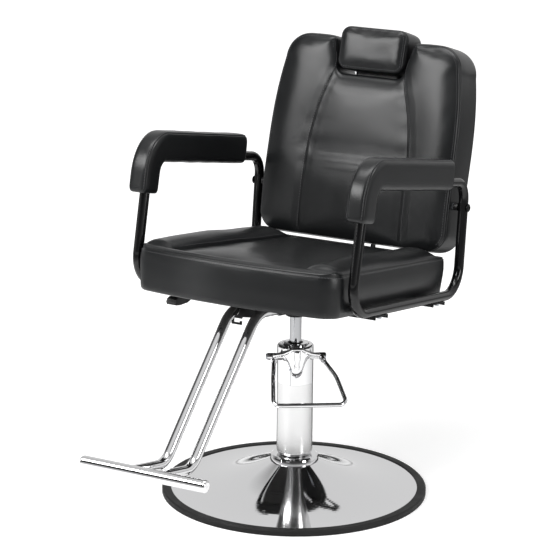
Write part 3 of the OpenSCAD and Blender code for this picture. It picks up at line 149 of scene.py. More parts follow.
def math_node(tree, operation, *values, **settings):
    """The outcome of one Math node."""
    return add(tree, "Math", dict(enumerate(values)), operation=operation, **settings).outputs[0]


def noise(tree, place, size_mm, detail=2.0):
    """Soft noise whose lumps are about size_mm across."""
    inputs = {"Vector": place, "Scale": 1000 / size_mm, "Detail": detail}
    return add(tree, "TexNoise", inputs).outputs[0]


def roughen(tree, body, value, low, high):
    """Noise as roughness: its usual bounds, 0.3 and 0.7, carried to low and high."""
    tree.links.new(spread(tree, value, 0.3, 0.7, low, high), body.inputs["Roughness"])


def emboss(tree, body, height, strength, depth_mm):
    """Height as a bump on the shader's normal."""
    inputs = {"Height": height, "Strength": strength, "Distance": depth_mm * MM}
    tree.links.new(add(tree, "Bump", inputs).outputs[0], body.inputs["Normal"])


def blend(tree, factor, first, second):
    """Two sRGB colours mixed by a factor."""
    mix = add(tree, "Mix", {"Factor": factor}, data_type="RGBA")
    mix.inputs["A"].default_value = linear(first)
    mix.inputs["B"].default_value = linear(second)
    return mix.outputs["Result"]


# %% [markdown]
# ## Chrome plate
#
# Decorative chrome is a very thin bright layer over polished nickel. It has almost no
# colour and almost no roughness, and what the eye reads is the room in it. A faint
# haze, from wiping and from dust, keeps it from looking like a perfect mirror. The
# pump's lower sleeve is satin chrome over brushed steel, which is duller, and its rod
# is ground hard chrome, which is duller and darker.


# %% Chrome plate
def chrome_plate(name, colour, clean, hazy):
    """Chrome whose roughness drifts from clean to hazy, with a faint ripple."""
    made, tree, body, place = finish(name, colour, Metallic=1.0, Roughness=clean)
    haze = noise(tree, place, 60, 3.0)
    tree.links.new(spread(tree, haze, 0.35, 0.7, clean, hazy), body.inputs["Roughness"])
    emboss(tree, body, noise(tree, place, 35, 1.0), 0.1, 0.12)
    return made


CHROME = chrome_plate("chrome_plate", "#E4E4E5", 0.035, 0.07)
SATIN_CHROME = chrome_plate("satin_chrome_plate", "#DCDCDC", 0.2, 0.28)
HARD_CHROME = chrome_plate("ground_hard_chrome", "#A9AAAC", 0.1, 0.16)

# %% [markdown]
# ## Black upholstery vinyl
#
# The cover is PVC on a knitted backing, embossed with a fine leather grain and left
# half glossy, so broad soft highlights lie on every crown. Real grain cells are about
# a millimetre across. They are drawn at 2.4 mm, because anything finer vanishes at
# this size of picture, and stay a few hundredths of a millimetre deep.


# %% Black upholstery vinyl
GRAIN_MM, FINE_GRAIN_MM = 2.4, 0.9


def upholstery_vinyl():
    """Black vinyl: worn patches in the colour, soft patches in the sheen, and a grain of
    cells with finer noise laid over them."""
    look = {"Roughness": 0.3, "Specular_IOR_Level": 0.38}
    made, tree, body, place = finish("pvc_upholstery_vinyl", "#141516", **look)
    wear = spread(tree, noise(tree, place, 140), 0.3, 0.75, 0.0, 1.0)
    tree.links.new(blend(tree, wear, "#121314", "#171819"), body.inputs["Base Color"])
    roughen(tree, body, noise(tree, place, 60), 0.28, 0.32)
    inputs = {"Vector": place, "Scale": 1000 / GRAIN_MM}
    cells = add(tree, "TexVoronoi", inputs, feature="DISTANCE_TO_EDGE")
    crease = spread(tree, cells.outputs[0], 0.0, 0.22, 0.0, 1.0)
    fine = noise(tree, place, FINE_GRAIN_MM)
    emboss(tree, body, math_node(tree, "ADD", crease, fine), 0.22, 0.12)
    return made


VINYL = upholstery_vinyl()

# %% [markdown]
# ## Powder coats
#
# The arm tubes wear a gloss black powder coat: a thick film with a faint orange peel
# that bends the long white highlights. The steel under the seat has the cheaper satin
# one, with a finer and rougher skin that mirrors less.


# %% Powder coats
def powder_coat(name, colour, roughness, peel_mm, depth_mm, mirror):
    """Powder coat whose peel is peel_mm across; mirror is the shader's specular level."""
    look = {"Roughness": roughness, "Specular_IOR_Level": mirror}
    made, tree, body, place = finish(name, colour, **look)
    roughen(tree, body, noise(tree, place, 45), roughness - 0.03, roughness + 0.05)
    emboss(tree, body, noise(tree, place, peel_mm, 1.0), 0.3, depth_mm)
    return made


GLOSS_COAT = powder_coat("gloss_powder_coat", "#060607", 0.09, 4.0, 0.05, 0.42)
SATIN_COAT = powder_coat("satin_powder_coat", "#0B0B0C", 0.4, 1.8, 0.08, 0.25)

# %% [markdown]
# ## Rubber, plastic and thread
#
# The base's ring is moulded EPDM rubber with a dull bloom. Grips and end caps are
# spark-eroded ABS, which is a fine even texture. The thread is bonded polyester, whose
# colour is painted lighter than the cover as a painted highlight, so a seam shows as a
# dotted line.


# %% Rubber, plastic and thread
def dull(name, colour, roughness, grit_mm, depth_mm):
    """A dull skin: a patchy bloom and grit that is grit_mm across."""
    look = {"Roughness": roughness, "Specular_IOR_Level": 0.35}
    made, tree, body, place = finish(name, colour, **look)
    roughen(tree, body, noise(tree, place, 30, 4.0), roughness - 0.06, roughness + 0.08)
    emboss(tree, body, noise(tree, place, grit_mm), 0.4, depth_mm)
    return made


RUBBER = dull("epdm_rubber", "#131313", 0.6, 1.6, 0.05)
PLASTIC = dull("abs_plastic", "#0F0F10", 0.42, 1.2, 0.04)
# the thread's colour is painted lighter than the cover: a painted highlight on every stitch
THREAD_WITH_PAINTED_HIGHLIGHT = dull("polyester_thread_painted_highlight", "#444446", 0.5, 0.5, 0.05)

# %% [markdown]
# ## Bare and plated metals
#
# Fasteners are zinc-plated: bluish, cloudy and half dull. The pump's hidden parts are
# turned steel, whose tool left rings round the axis, and the washer under the hub is
# oiled bronze.


# %% Bare and plated metals
def bare_metal(name, colour, roughness, cloud_mm, rings_mm=0.0):
    """Cloudy metal, and where rings_mm is set, a turning tool's rings at that feed: a
    wave node has 20 bands along Z to a unit of its scale."""
    made, tree, body, place = finish(name, colour, Metallic=1.0, Roughness=roughness)
    roughen(tree, body, noise(tree, place, cloud_mm, 4.0), roughness - 0.06, roughness + 0.1)
    if rings_mm:
        inputs = {"Vector": place, "Scale": 1000 / rings_mm / 20, "Distortion": 0.4}
        wave = add(tree, "TexWave", inputs, bands_direction="Z")
        emboss(tree, body, wave.outputs[1], 0.15, 0.1)
    return made


ZINC = bare_metal("zinc_plate", "#B6BAC0", 0.34, 6)
STEEL = bare_metal("turned_steel", "#8E9195", 0.3, 12, rings_mm=1.6)
BRONZE = bare_metal("oiled_bronze", "#9C7440", 0.35, 8)

# %% [markdown]
# ## Plywood
#
# The back's frame is birch plywood. Long figure runs along Y, broken by fine pores. The
# seat board is stained black, because its edge and underside can be seen.


# %% Plywood
def birch_plywood():
    """Birch: noise stretched eight times along Y for the figure and for the pores."""
    made, tree, body, place = finish("birch_plywood", "#B89468", Roughness=0.6)
    along = add(tree, "Mapping", {"Vector": place, "Scale": (1.0, 0.12, 1.0)}).outputs[0]
    figure = spread(tree, noise(tree, along, 14, 5.0), 0.3, 0.7, 0.0, 1.0)
    tree.links.new(blend(tree, figure, "#A57F52", "#C9A87C"), body.inputs["Base Color"])
    emboss(tree, body, noise(tree, along, 1.5), 0.3, 0.2)
    return made


PLYWOOD = birch_plywood()
STAINED = dull("black_stained_plywood", "#141312", 0.55, 3.0, 0.06)

# %% Finishes of the CAD nodes
# a slot's finish goes on all its nodes, apart from two that are plated in another way
SLOT_FINISH = {
    "chrome": CHROME,
    "black_vinyl": VINYL,
    "black_paint": SATIN_COAT,
    "black_gloss": GLOSS_COAT,
    "steel": STEEL,
    "zinc": ZINC,
    "plywood": PLYWOOD,
    "black_wood": STAINED,
    "black_rubber": RUBBER,
    "black_plastic": PLASTIC,
    "bronze": BRONZE,
}
NODE_FINISH = {"lower_sleeve": SATIN_CHROME, "piston_rod": HARD_CHROME}
for entry in frame["record"]["subparts"]:
    mesh = frame["nodes"][entry["node"]].data
    mesh.materials.clear()
    mesh.materials.append(NODE_FINISH.get(entry["node"], SLOT_FINISH[entry["material_slot"]]))
print("finishes", len(SLOT_FINISH))

# %% [markdown]
# ## The chair's own axes
#
# The seat board is raked back and the backrest leans further, so each gets its own
# axes: a point is worked out where everything is square, then turned into place.

# %% Seat axes and back axes
SEAT_Z, SEAT_RAKE, BACK_LEAN = 455.5, math.radians(8), math.radians(15.5)
HINGE_Y, HINGE_Z = 289.209, 621.869


def in_seat(p):
    """Seat axes to the chair's, in metres: X across, Y back along the board, Z off it."""
    x, y, z = np.moveaxis(np.asarray(p, float), -1, 0)
    c, s = math.cos(SEAT_RAKE), math.sin(SEAT_RAKE)
    return np.stack([x, y * c + z * s, SEAT_Z - y * s + z * c], -1) * MM


def in_back(p):
    """Back axes to the chair's: X across, then up along the back, then forward."""
    x, up, front = np.moveaxis(np.asarray(p, float), -1, 0)
    c, s = math.cos(BACK_LEAN), math.sin(BACK_LEAN)
    return np.stack([x, HINGE_Y + up * s - front * c, HINGE_Z + up * c + front * s], -1) * MM


# %% Shapes of foam
def smooth(t):
    """An S from 0 to 1."""
    t = np.clip(t, 0, 1)
    return t * t * (3 - 2 * t)


def swell(t):
    """A quarter circle from 0 to 1: it rises steeply and levels off."""
    t = np.clip(t, 0, 1)
    return np.sqrt(1 - (1 - t) ** 2)


def dent(t):
    """One soft hump at 0 that ends at -1 and 1: (1 - t squared) squared."""
    return np.where(np.abs(t) < 1, (1 - np.square(t)) ** 2, 0.0)


def ripples(x, y, size, seed, waves=9):
    """Smooth noise about -1 to 1: a sum of sine waves about size long, each with its
    own direction and phase drawn from the seed."""
    p = np.stack([x, y], -1)
    rng = np.random.default_rng(seed)
    way = rng.normal(size=(waves, p.shape[-1]))
    way /= np.linalg.norm(way, axis=1, keepdims=True)
    rate = 2 * np.pi / (size * rng.uniform(0.7, 1.6, waves))
    phase = rng.uniform(0, 2 * np.pi, waves)
    return np.sin(p @ way.T * rate + phase).sum(-1) / math.sqrt(waves)


def finer(knots, times):
    """Stations between the knots, times as many, evenly spaced in each interval."""
    knots = np.asarray(knots, float)
    steps = np.arange((len(knots) - 1) * times + 1) / times
    return np.interp(steps, np.arange(len(knots)), knots)


def both_sides(knots, times):
    """Finer stations from 0 outward, and the same ones negative before them."""
    half = finer(knots, times)
    return np.concatenate([-half[:0:-1], half])


def through(points, count):
    """count points on a smooth curve through the points: each span is a Hermite cubic
    whose slopes are half the chord between its neighbours."""
    p = np.asarray(points, float)
    slope = np.gradient(p, axis=0)
    t = np.linspace(0, len(p) - 1, count)
    i = np.minimum(t.astype(int), len(p) - 2)
    u = (t - i)[:, None]
    h00, h10 = 2 * u**3 - 3 * u**2 + 1, u**3 - 2 * u**2 + u
    return h00 * p[i] + h10 * slope[i] + (1 - h00) * p[i + 1] + (u**3 - u**2) * slope[i + 1]


# %% [markdown]
# ## Making a padded shell
#
# A boxed cushion is a face, a side strip sewn round it, and an underside. The face is
# a grid of points. Its border, drawn in or let out level by level, gives the side, so
# face and side share one seam. The relief lifts the face above the seam.


# %% Padded shell
def border_of(grid):
    """The grid's border as one loop: along the first row, up, back and down."""
    return np.concatenate([grid[0, :-1], grid[:-1, -1], grid[-1, :0:-1], grid[:0:-1, 0]])


def drawn_in(loop, inset):
    """The loop moved inward by inset along each point's own normal."""
    d = np.roll(loop, -1, 0) - np.roll(loop, 1, 0)
    normal = np.stack([d[:, 1], -d[:, 0]], 1) / np.linalg.norm(d, axis=1, keepdims=True)
    return loop - inset * normal


def depth_inside(points, loop):
    """Each point's distance from the loop's nearest segment."""
    a, b = loop, np.roll(loop, -1, 0)
    ab = b - a
    share = ((points[:, None] - a) * ab).sum(-1) / (ab * ab).sum(-1)
    near = a + np.clip(share, 0, 1)[..., None] * ab
    return np.linalg.norm(points[:, None] - near, axis=-1).min(1)


def padded_shell(grid, levels, relief):
    """Points and faces: loops of the border at each (inset, height), then the inner
    points at the last height plus the relief. The first loop is closed by one face."""
    rows, cols = grid.shape[:2]
    loop = border_of(grid)
    n, m = len(loop), len(levels)
    loops = [
        np.column_stack([drawn_in(loop, inset), np.full(n, height)]) for inset, height in levels
    ]
    inner = grid[1:-1, 1:-1].reshape(-1, 2)
    depth = np.concatenate([depth_inside(part, loop) for part in np.array_split(inner, 24)])
    top = np.column_stack([inner, levels[-1][1] + relief(inner[:, 0], inner[:, 1], depth)])
    points = np.vstack([*loops, top])
    r, i = np.meshgrid(np.arange(m - 1), np.arange(n), indexing="ij")
    j = (i + 1) % n
    side = np.stack([r * n + i, r * n + j, (r + 1) * n + j, (r + 1) * n + i], -1).reshape(-1, 4)
    at = np.empty((rows, cols), int)
    at[1:-1, 1:-1] = m * n + np.arange(inner.shape[0]).reshape(rows - 2, cols - 2)
    last = (m - 1) * n + np.arange(n)
    at[0, :] = last[:cols]
    at[:, -1] = last[cols - 1 : cols - 1 + rows]
    at[-1, :] = last[cols + rows - 2 : 2 * cols + rows - 2][::-1]
    at[1:-1, 0] = last[2 * cols + rows - 2 :][::-1]
    face = np.stack([at[:-1, :-1], at[:-1, 1:], at[1:, 1:], at[1:, :-1]], -1).reshape(-1, 4)
    floor = [list(range(n - 1, -1, -1))]
    return points, [*side.tolist(), *face.tolist(), *floor]


def piece(name, points, faces, look):
    """A mesh object of those points and faces, shaded smooth, in one finish."""
    mesh = bpy.data.meshes.new(name)
    mesh.from_pydata(np.asarray(points).tolist(), [], faces)
    mesh.polygons.foreach_set("use_smooth", [True] * len(mesh.polygons))
    mesh.materials.append(look)
    return placed(name, mesh)


# %% [markdown]
# ## Stuffing a cover
#
# Foam pushes a sewn cover out between its seams, and the cloth answers with soft
# swells and small pulls near the thread. Blender's Cloth does that on a copy of the
# cover, remeshed to even voxels: it is held where it is sewn or stapled and blown up a
# little, with no gravity. What comes back is how far each place moved. The finely
# gridded cover takes over that movement, so its seams stay as sharp as they were drawn.

# %% Stuffing a cover
CLOTH_FRAMES, CLOTH_PRESSURE = 20, 4.0
NEIGHBOURS, SOFTEN_MM = 6, 0.5


def coordinates(mesh):
    """The mesh's points as an array."""
    flat = np.empty(len(mesh.vertices) * 3)
    mesh.vertices.foreach_get("co", flat)
    return flat.reshape(-1, 3)


def tree_of(points):
    """A search tree of the points."""
    tree = KDTree(len(points))
    for i, p in enumerate(points):
        tree.insert(p, i)
    tree.balance()
    return tree


def voxel_copy(cover, voxel_mm):
    """The cover as a closed skin of even voxels, in an object of its own."""
    copy = cover.copy()
    bpy.context.scene.collection.objects.link(copy)
    remesh = copy.modifiers.new("voxels", "REMESH")
    remesh.mode, remesh.voxel_size = "VOXEL", voxel_mm * MM
    graph = bpy.context.evaluated_depsgraph_get()
    solid = bpy.data.meshes.new_from_object(copy.evaluated_get(graph))
    bpy.data.objects.remove(copy)
    return placed(cover.name + "_trial", solid)


def stuff(cover, held, voxel_mm, cap_mm):
    """Blow the cover up wherever held, a truth for each point, isn't so. A point moves by
    the mean of its nearest trial points' moves, each weighted by one over its distance
    and a little more, and never further than the cap."""
    rest = coordinates(cover.data)
    trial = voxel_copy(cover, voxel_mm)
    start = coordinates(trial.data)
    cover_tree = tree_of(rest)
    pinned = [i for i, p in enumerate(start) if held[cover_tree.find(p)[1]]]
    trial.vertex_groups.new(name="held").add(pinned, 1.0, "REPLACE")
    cloth = trial.modifiers.new("cloth", "CLOTH")
    cloth.settings.vertex_group_mass = "held"
    cloth.settings.use_pressure = True
    cloth.settings.uniform_pressure_force = CLOTH_PRESSURE
    cloth.settings.effector_weights.gravity = 0
    cloth.point_cache.frame_start, cloth.point_cache.frame_end = 1, CLOTH_FRAMES
    for step in range(1, CLOTH_FRAMES + 1):
        bpy.context.scene.frame_set(step)
    blown = trial.evaluated_get(bpy.context.evaluated_depsgraph_get())
    move = coordinates(blown.data) - start
    bpy.data.objects.remove(trial)
    bpy.context.scene.frame_set(1)
    length = np.linalg.norm(move, axis=1, keepdims=True)
    move *= np.minimum(1, cap_mm * MM / np.maximum(length, 1e-9))
    trial_tree = tree_of(start)
    near = [trial_tree.find_n(p, NEIGHBOURS) for p in rest]
    index = np.array([[hit[1] for hit in hits] for hits in near])
    apart = np.array([[hit[2] for hit in hits] for hits in near])
    weight = 1 / (apart + SOFTEN_MM * MM)
    carried = (move[index] * weight[..., None]).sum(1) / weight.sum(1, keepdims=True)
    carried[held] = 0
    cover.data.vertices.foreach_set("co", (rest + carried).ravel())
    cover.data.update()
    most = float(np.linalg.norm(carried, axis=1).max()) / MM
    print(cover.name, "swelled by up to", round(most, 1), "mm")


# %% [markdown]
# ## Stitches
#
# A lockstitch shows as a row of short thread loops, each sunk a little at its ends.
# One stitch is a bead of six sides and five rings. The row's path is given roughly and
# drawn on to the finished cover, so the thread lies on it whatever the foam did.

# %% Stitches
STITCH_PITCH, STITCH_LENGTH, THREAD_R, BESIDE_SEAM = 6.0, 4.4, 0.65, 4.5
BEAD_SIDES, BEAD_RINGS = 6, np.array([-1, -0.7, 0, 0.7, 1.0])


def spaced(path, pitch):
    """Points every pitch along a polyline, found by interpolating over its length."""
    path = np.asarray(path, float)
    run = np.concatenate([[0], np.cumsum(np.linalg.norm(np.diff(path, axis=0), axis=1))])
    s = np.arange(pitch / 2, run[-1], pitch)
    return np.stack([np.interp(s, run, c) for c in path.T], 1)


def sew(name, cover, paths, body):
    """A piece of thread beads along each path. A bead's ring at share u of its half
    length has radius THREAD_R times the square root of 1 less 0.96 u to the fourth, and
    its middle stands a little off the cover while its ends dip in."""
    cells = [f.vertices[:] for f in cover.data.polygons]
    skin = BVHTree.FromPolygons(coordinates(cover.data).tolist(), cells)
    u, n = BEAD_RINGS, BEAD_SIDES
    a = np.arange(n) * math.pi / (n / 2)
    along = np.repeat(u * STITCH_LENGTH / 2, n) * MM
    radius = THREAD_R * np.sqrt(1 - 0.96 * u**4)
    across = np.outer(radius, np.cos(a)).ravel() * MM
    lift = np.repeat(THREAD_R * (0.3 - 0.9 * u**2), n)
    off = (np.outer(radius, np.sin(a)).ravel() + lift) * MM
    ring, per_bead = np.arange(n), n * len(u)
    band = np.stack([ring, (ring + 1) % n, n + (ring + 1) % n, n + ring], 1)
    bead = np.concatenate([band + n * k for k in range(len(u) - 1)])
    ends = np.stack([ring[::-1], per_bead - n + ring])
    points, faces, count = [], [], 0
    for path in paths:
        hits = [skin.find_nearest(p) for p in spaced(path, STITCH_PITCH * MM)]
        at = np.array([hit[0] for hit in hits])
        out = np.array([hit[1] for hit in hits])
        way = np.gradient(at, axis=0)
        way -= (way * out).sum(1, keepdims=True) * out
        way /= np.linalg.norm(way, axis=1, keepdims=True)
        wide = np.cross(out, way)
        beads = at[:, None] + along[:, None] * way[:, None] + across[:, None] * wide[:, None]
        points.append((beads + off[:, None] * out[:, None]).reshape(-1, 3))
        base = count + per_bead * np.arange(len(at))[:, None, None]
        faces += (bead[None] + base).reshape(-1, 4).tolist()
        faces += (ends[None] + base).reshape(-1, n).tolist()
        count += per_bead * len(at)
    thread = piece(name, np.vstack(points), faces, THREAD_WITH_PAINTED_HIGHLIGHT)
    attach(thread, body)
    print(name, count // per_bead, "stitches")


# %% [markdown]
# ## The seat cushion
#
# A block of foam on the board, boxed with a side strip. Two firm bolsters run down its
# sides and a narrow roll lies across its bowed front, and the wide panel between them
# is sunk and only slightly crowned. The grid's columns follow the panel's edges, so
# that a seam never crosses a cell.

# %% Seat outline and relief
SEAT_W, SEAT_FRONT, SEAT_REAR, SEAT_BOW = 240.0, 282.0, 238.0, 34.0
SEAT_LIP, SEAT_SEAM, BOARD_T = 2.5, 92.0, 15.3
SEAT_FRONT_R, SEAT_REAR_R = 34, 14
BOLSTER_W, BOLSTER_RISE, PANEL_STATION = 80.0, 20.0, 0.62
# a bolster rises by this share more at the fullest place, a share of the seat's length
BOLSTER_FULLER, BOLSTER_FULLEST = 0.25, 0.35
ROLL_W, ROLL_RISE, PANEL_RISE, SEAM_FROM = 34, 8, 5, 30


def panel_edge(q):
    """Half the panel's width: the bolsters widen by 30% towards the back."""
    return SEAT_W - BOLSTER_W * (1 + 0.3 * q)


def along_seat(y):
    """The share of the seat's length, from 0 at the front to 1 behind."""
    return np.clip((y + SEAT_FRONT) / (SEAT_FRONT + SEAT_REAR), 0, 1)


def behind_front(x, y):
    """The distance behind the front edge, which bows forward in the middle."""
    return y + SEAT_FRONT + SEAT_BOW * (1 - (x / SEAT_W) ** 2)


def round_corner(x, y, w, h, r):
    """A point of a rectangle, moved in where its corner is round: in the corner's
    square the larger of the two overshoots becomes the distance from its centre."""
    dx, dy = np.abs(x) - (w - r), np.abs(y) - (h - r)
    k = np.maximum(dx, dy) / np.maximum(np.hypot(dx, dy), 1e-9)
    corner = (dx > 0) & (dy > 0)
    near_x, near_y = np.sign(x) * (w - r + dx * k), np.sign(y) * (h - r + dy * k)
    return np.where(corner, near_x, x), np.where(corner, near_y, y)


def seat_grid(across, along):
    """The outline's points: across is -1 to 1, and along is 0 at the front, 1 behind."""
    p, q = np.meshgrid(across, along)
    h = (SEAT_FRONT + SEAT_REAR) / 2
    edge = panel_edge(q)
    side = np.where(
        np.abs(p) < PANEL_STATION,
        np.abs(p) / PANEL_STATION * edge,
        edge + (np.abs(p) - PANEL_STATION) / (1 - PANEL_STATION) * (SEAT_W - edge),
    )
    r = SEAT_FRONT_R + (SEAT_REAR_R - SEAT_FRONT_R) * q
    x, y = round_corner(np.sign(p) * side, (2 * q - 1) * h, SEAT_W, h, r)
    x = x + 2 * p**3 * np.sin(np.pi * q)
    y = y + (SEAT_REAR - SEAT_FRONT) / 2 - SEAT_BOW * (1 - (x / SEAT_W) ** 2) * (1 - q) ** 2
    return np.stack([x, y], -1)


def arch(t):
    """Half a sine wave from 0 to 1."""
    return np.maximum(0, np.sin(np.pi * np.clip(t, 0, 1)))


def seat_relief(x, y, d):
    """Height over the side seam: the bolsters, the front roll and the panel, less the
    grooves of the seams between them, and small puckers that run off each seam."""
    q = along_seat(y)
    to_back, from_side = SEAT_REAR - y, SEAT_W - np.abs(x)
    width = SEAT_W - panel_edge(q)
    from_front = behind_front(x, y)
    fuller = 1 + BOLSTER_FULLER * dent((q - BOLSTER_FULLEST) / BOLSTER_FULLEST)
    bolster = BOLSTER_RISE * fuller * arch(from_side / width) ** 0.6
    bolster = bolster * smooth(to_back / 60) * smooth(from_front / 36)
    roll = ROLL_RISE * arch(from_front / ROLL_W) ** 0.8
    panel = PANEL_RISE * smooth((from_side - width) / 40) * smooth((from_front - ROLL_W) / 40)
    high = np.maximum.reduce([bolster, roll, panel]) * smooth((to_back + 5) / 50)
    inner = np.where(from_front > SEAM_FROM, from_side - width, 99.0)
    groove = 2.2 * dent(inner / 4) * smooth((from_front - SEAM_FROM) / 12) * smooth(to_back / 40)
    groove += 1.6 * dent((from_front - ROLL_W) / 4) * smooth((from_side - width + 6) / 12)
    pucker = 0.5 * dent(inner / 26) * np.sin(y / 5.5 + 2 * np.sin(y / 31)) * smooth(to_back / 60)
    sag = 0.7 * ripples(x, y, 120, 3) * smooth(d / 40)
    return np.maximum(high - groove + pucker + sag, 0.2)


# %% The seat cushion
ACROSS = [0, 0.2, 0.38, 0.5, 0.57, 0.6, 0.61, 0.62, 0.63, 0.64, 0.67, 0.76, 0.86, 0.94, 1]
ALONG = [0, 0.01, 0.02, 0.045, 0.06, 0.07, 0.08, 0.1, 0.16, 0.3, 0.5, 0.7, 0.84, 0.92]
ALONG += [0.965, 0.985, 1]
seat_xy = seat_grid(both_sides(ACROSS, 4), finer(ALONG, 4))
seat_side = through(
    [(5, SEAT_LIP), (1, SEAT_LIP + 6), (-2, 36.4), (-4, 62.1), (-3.4, 78), (-2.2, 86), (-1.2, 89)],
    24,
)
seat_under = [(18, BOARD_T), (18, SEAT_LIP), (12, SEAT_LIP)]
seat_edge = [(0.9, 90.4), (0.4, 91.6), (0, SEAT_SEAM)]
seat_levels = [*seat_under, *map(tuple, seat_side), *seat_edge]
seat_points, seat_faces = padded_shell(seat_xy, seat_levels, seat_relief)
seat = piece("seat_upholstery", in_seat(seat_points), seat_faces, VINYL)
print("seat", len(seat_points), "points")

# %% Stuffing and sewing the seat
sx, sy, sz = seat_points.T
seat_inner = SEAT_W - np.abs(sx) - (SEAT_W - panel_edge(along_seat(sy)))
seat_behind = behind_front(sx, sy)
on_edge = np.abs(sz - SEAT_SEAM) < 1.5
on_side_seam = (np.abs(seat_inner) < 3) & (seat_behind > SEAM_FROM)
on_roll_seam = np.abs(seat_behind - ROLL_W) < 3
on_seam = (sz > SEAT_SEAM - 1) & (on_side_seam | on_roll_seam)
stuff(seat, (sz < 24) | on_edge | on_seam | (sy > SEAT_REAR - 30), 5.5, 6)


def seat_path(x, y, height):
    """A path over the seat, from which the stitches find their way to the cover."""
    return in_seat(np.stack(np.broadcast_arrays(x, y, height), -1))


def edge_run(inset, from_share, to_share, count=160):
    """The seat's outline drawn in, from one share of its length to another."""
    loop = drawn_in(border_of(seat_xy), inset)
    run = np.linspace(from_share, to_share, count) % 1 * len(loop)
    return np.stack([np.interp(run, np.arange(len(loop)), c) for c in loop.T], -1)


panel_y = np.linspace(-235, SEAT_REAR - 40, 60)
panel_x = panel_edge(along_seat(panel_y))
roll_x = np.linspace(-150, 150, 80)
roll_y = ROLL_W + BESIDE_SEAM - SEAT_FRONT - SEAT_BOW * (1 - (roll_x / SEAT_W) ** 2)
border = edge_run(5, -0.26, 0.52)
skirt = edge_run(0, -0.26, 0.52)
sew(
    "seat_stitching",
    seat,
    [
        seat_path(panel_x + BESIDE_SEAM, panel_y, SEAT_SEAM + 8),
        seat_path(-panel_x - BESIDE_SEAM, panel_y, SEAT_SEAM + 8),
        seat_path(roll_x, roll_y, SEAT_SEAM + 6),
        seat_path(border[:, 0], border[:, 1], SEAT_SEAM + 6),
        seat_path(skirt[:, 0], skirt[:, 1], SEAT_SEAM - 5),
    ],
    "seat",
)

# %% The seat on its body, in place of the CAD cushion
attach(seat, "seat")
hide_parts("seat_cushion")

# %% [markdown]
# ## The backrest cushion
#
# The back is a tall boxed cushion with a notch for the headrest in its top edge. Two
# seams run down its face and part it into a centre panel and two wings, and a soft
# fold crosses the panel where the lumbar foam begins. The front's foot is drawn back,
# so that it clears the seat when the back reclines.

# %% Backrest outline
BACK_W, BACK_TOP, BACK_FOOT, NOTCH_FLOOR = 237.0, 350.0, -108.0, 265.0
BACK_REAR, BACK_FRONT, BACK_CROWN, FOOT_DRAW = -66.0, 26.0, 14.0, 11.0
SEAM_COLUMN, CORNER_COLUMN, LAST_COLUMN = 4, 11, 13
FOOT_R, HEAD_R, SIDE_LEAN, LEAN_FROM = 45.0, 59, 16, 90
SEAM_X, SEAM_BEND, BEND_FROM = 128, 0.00092, 60
FOLD_AT, FOLD_DEPTH, LUMBAR_RISE = 86, 1.7, 5


def on_arc(cx, cy, r, start, end, t):
    """The point at share t of an arc from start to end, in degrees."""
    a = np.radians(start + (end - start) * t)
    return np.stack([cx + r * np.cos(a), cy + r * np.sin(a)], -1)


def on_line(p, q, t):
    """The point at share t of the way from p to q."""
    return np.asarray(p) + (np.asarray(q, float) - p) * t[..., None]


def top_edge(m):
    """The right half of the top edge at column m: the notch's floor, its round corner,
    its wall, the shoulder and half of the outer corner."""
    m = np.asarray(m, float)
    spans = [
        (0, 2, lambda t: on_line((0, NOTCH_FLOOR), (65, NOTCH_FLOOR), t)),
        (2, 5, lambda t: on_arc(65, NOTCH_FLOOR + 22, 22, -90, 0, t)),
        (5, 6, lambda t: on_line((87, NOTCH_FLOOR + 22), (94, 322), t)),
        (6, 7, lambda t: on_line((94, 322), (97.55, 338.09), t)),
        (7, 9, lambda t: on_arc(110, 337, 12.5, 175, 90, t)),
        (9, 11, lambda t: on_line((110, 349.5), (162, BACK_TOP), t)),
        (11, 13, lambda t: on_arc(162, 291, 59, 90, 40, t)),
    ]
    out = np.zeros((*m.shape, 2))
    for low, high, shape in spans:
        here = (m >= low) & (m <= high)
        out[here] = shape((m[here] - low) / (high - low))
    return out


def seam_line(s):
    """The seam's distance from the middle: it runs in towards the notch as the square
    of the height over BEND_FROM."""
    return SEAM_X - SEAM_BEND * np.maximum(0, s - BEND_FROM) ** 2


def bottom_edge(m):
    """The right half of the bottom edge at column m, and half of its round corner."""
    m = np.asarray(m, float)
    first = seam_line(BACK_FOOT)
    beyond = (BACK_W - FOOT_R - first) * (m - SEAM_COLUMN) / (CORNER_COLUMN - SEAM_COLUMN)
    across = np.where(m < SEAM_COLUMN, first * m / SEAM_COLUMN, first + beyond)
    flat = np.stack([across, np.full_like(m, BACK_FOOT)], -1)
    turn = np.interp(m, [CORNER_COLUMN, 12, LAST_COLUMN], [-90, -70, -45])
    corner = on_arc(BACK_W - FOOT_R, BACK_FOOT + FOOT_R, FOOT_R, 0, 1, turn)
    return np.where((m > CORNER_COLUMN)[..., None], corner, flat)


def back_side(s):
    """The side's distance from the middle: two round corners, and between them a line
    that leans in by SIDE_LEAN towards the top."""
    low, high = BACK_FOOT + FOOT_R, BACK_TOP - HEAD_R
    foot = BACK_W - FOOT_R + np.sqrt(np.maximum(0, FOOT_R**2 - np.maximum(0, low - s) ** 2))
    head_x = BACK_W - (HEAD_R + SIDE_LEAN)
    head = head_x + np.sqrt(np.maximum(0, HEAD_R**2 - np.maximum(0, s - high) ** 2))
    lean = BACK_W - SIDE_LEAN * np.maximum(0, (s - LEAN_FROM) / (high - LEAN_FROM)) ** 2.5
    return np.where(s < low, foot, np.where(s > high, head, lean))


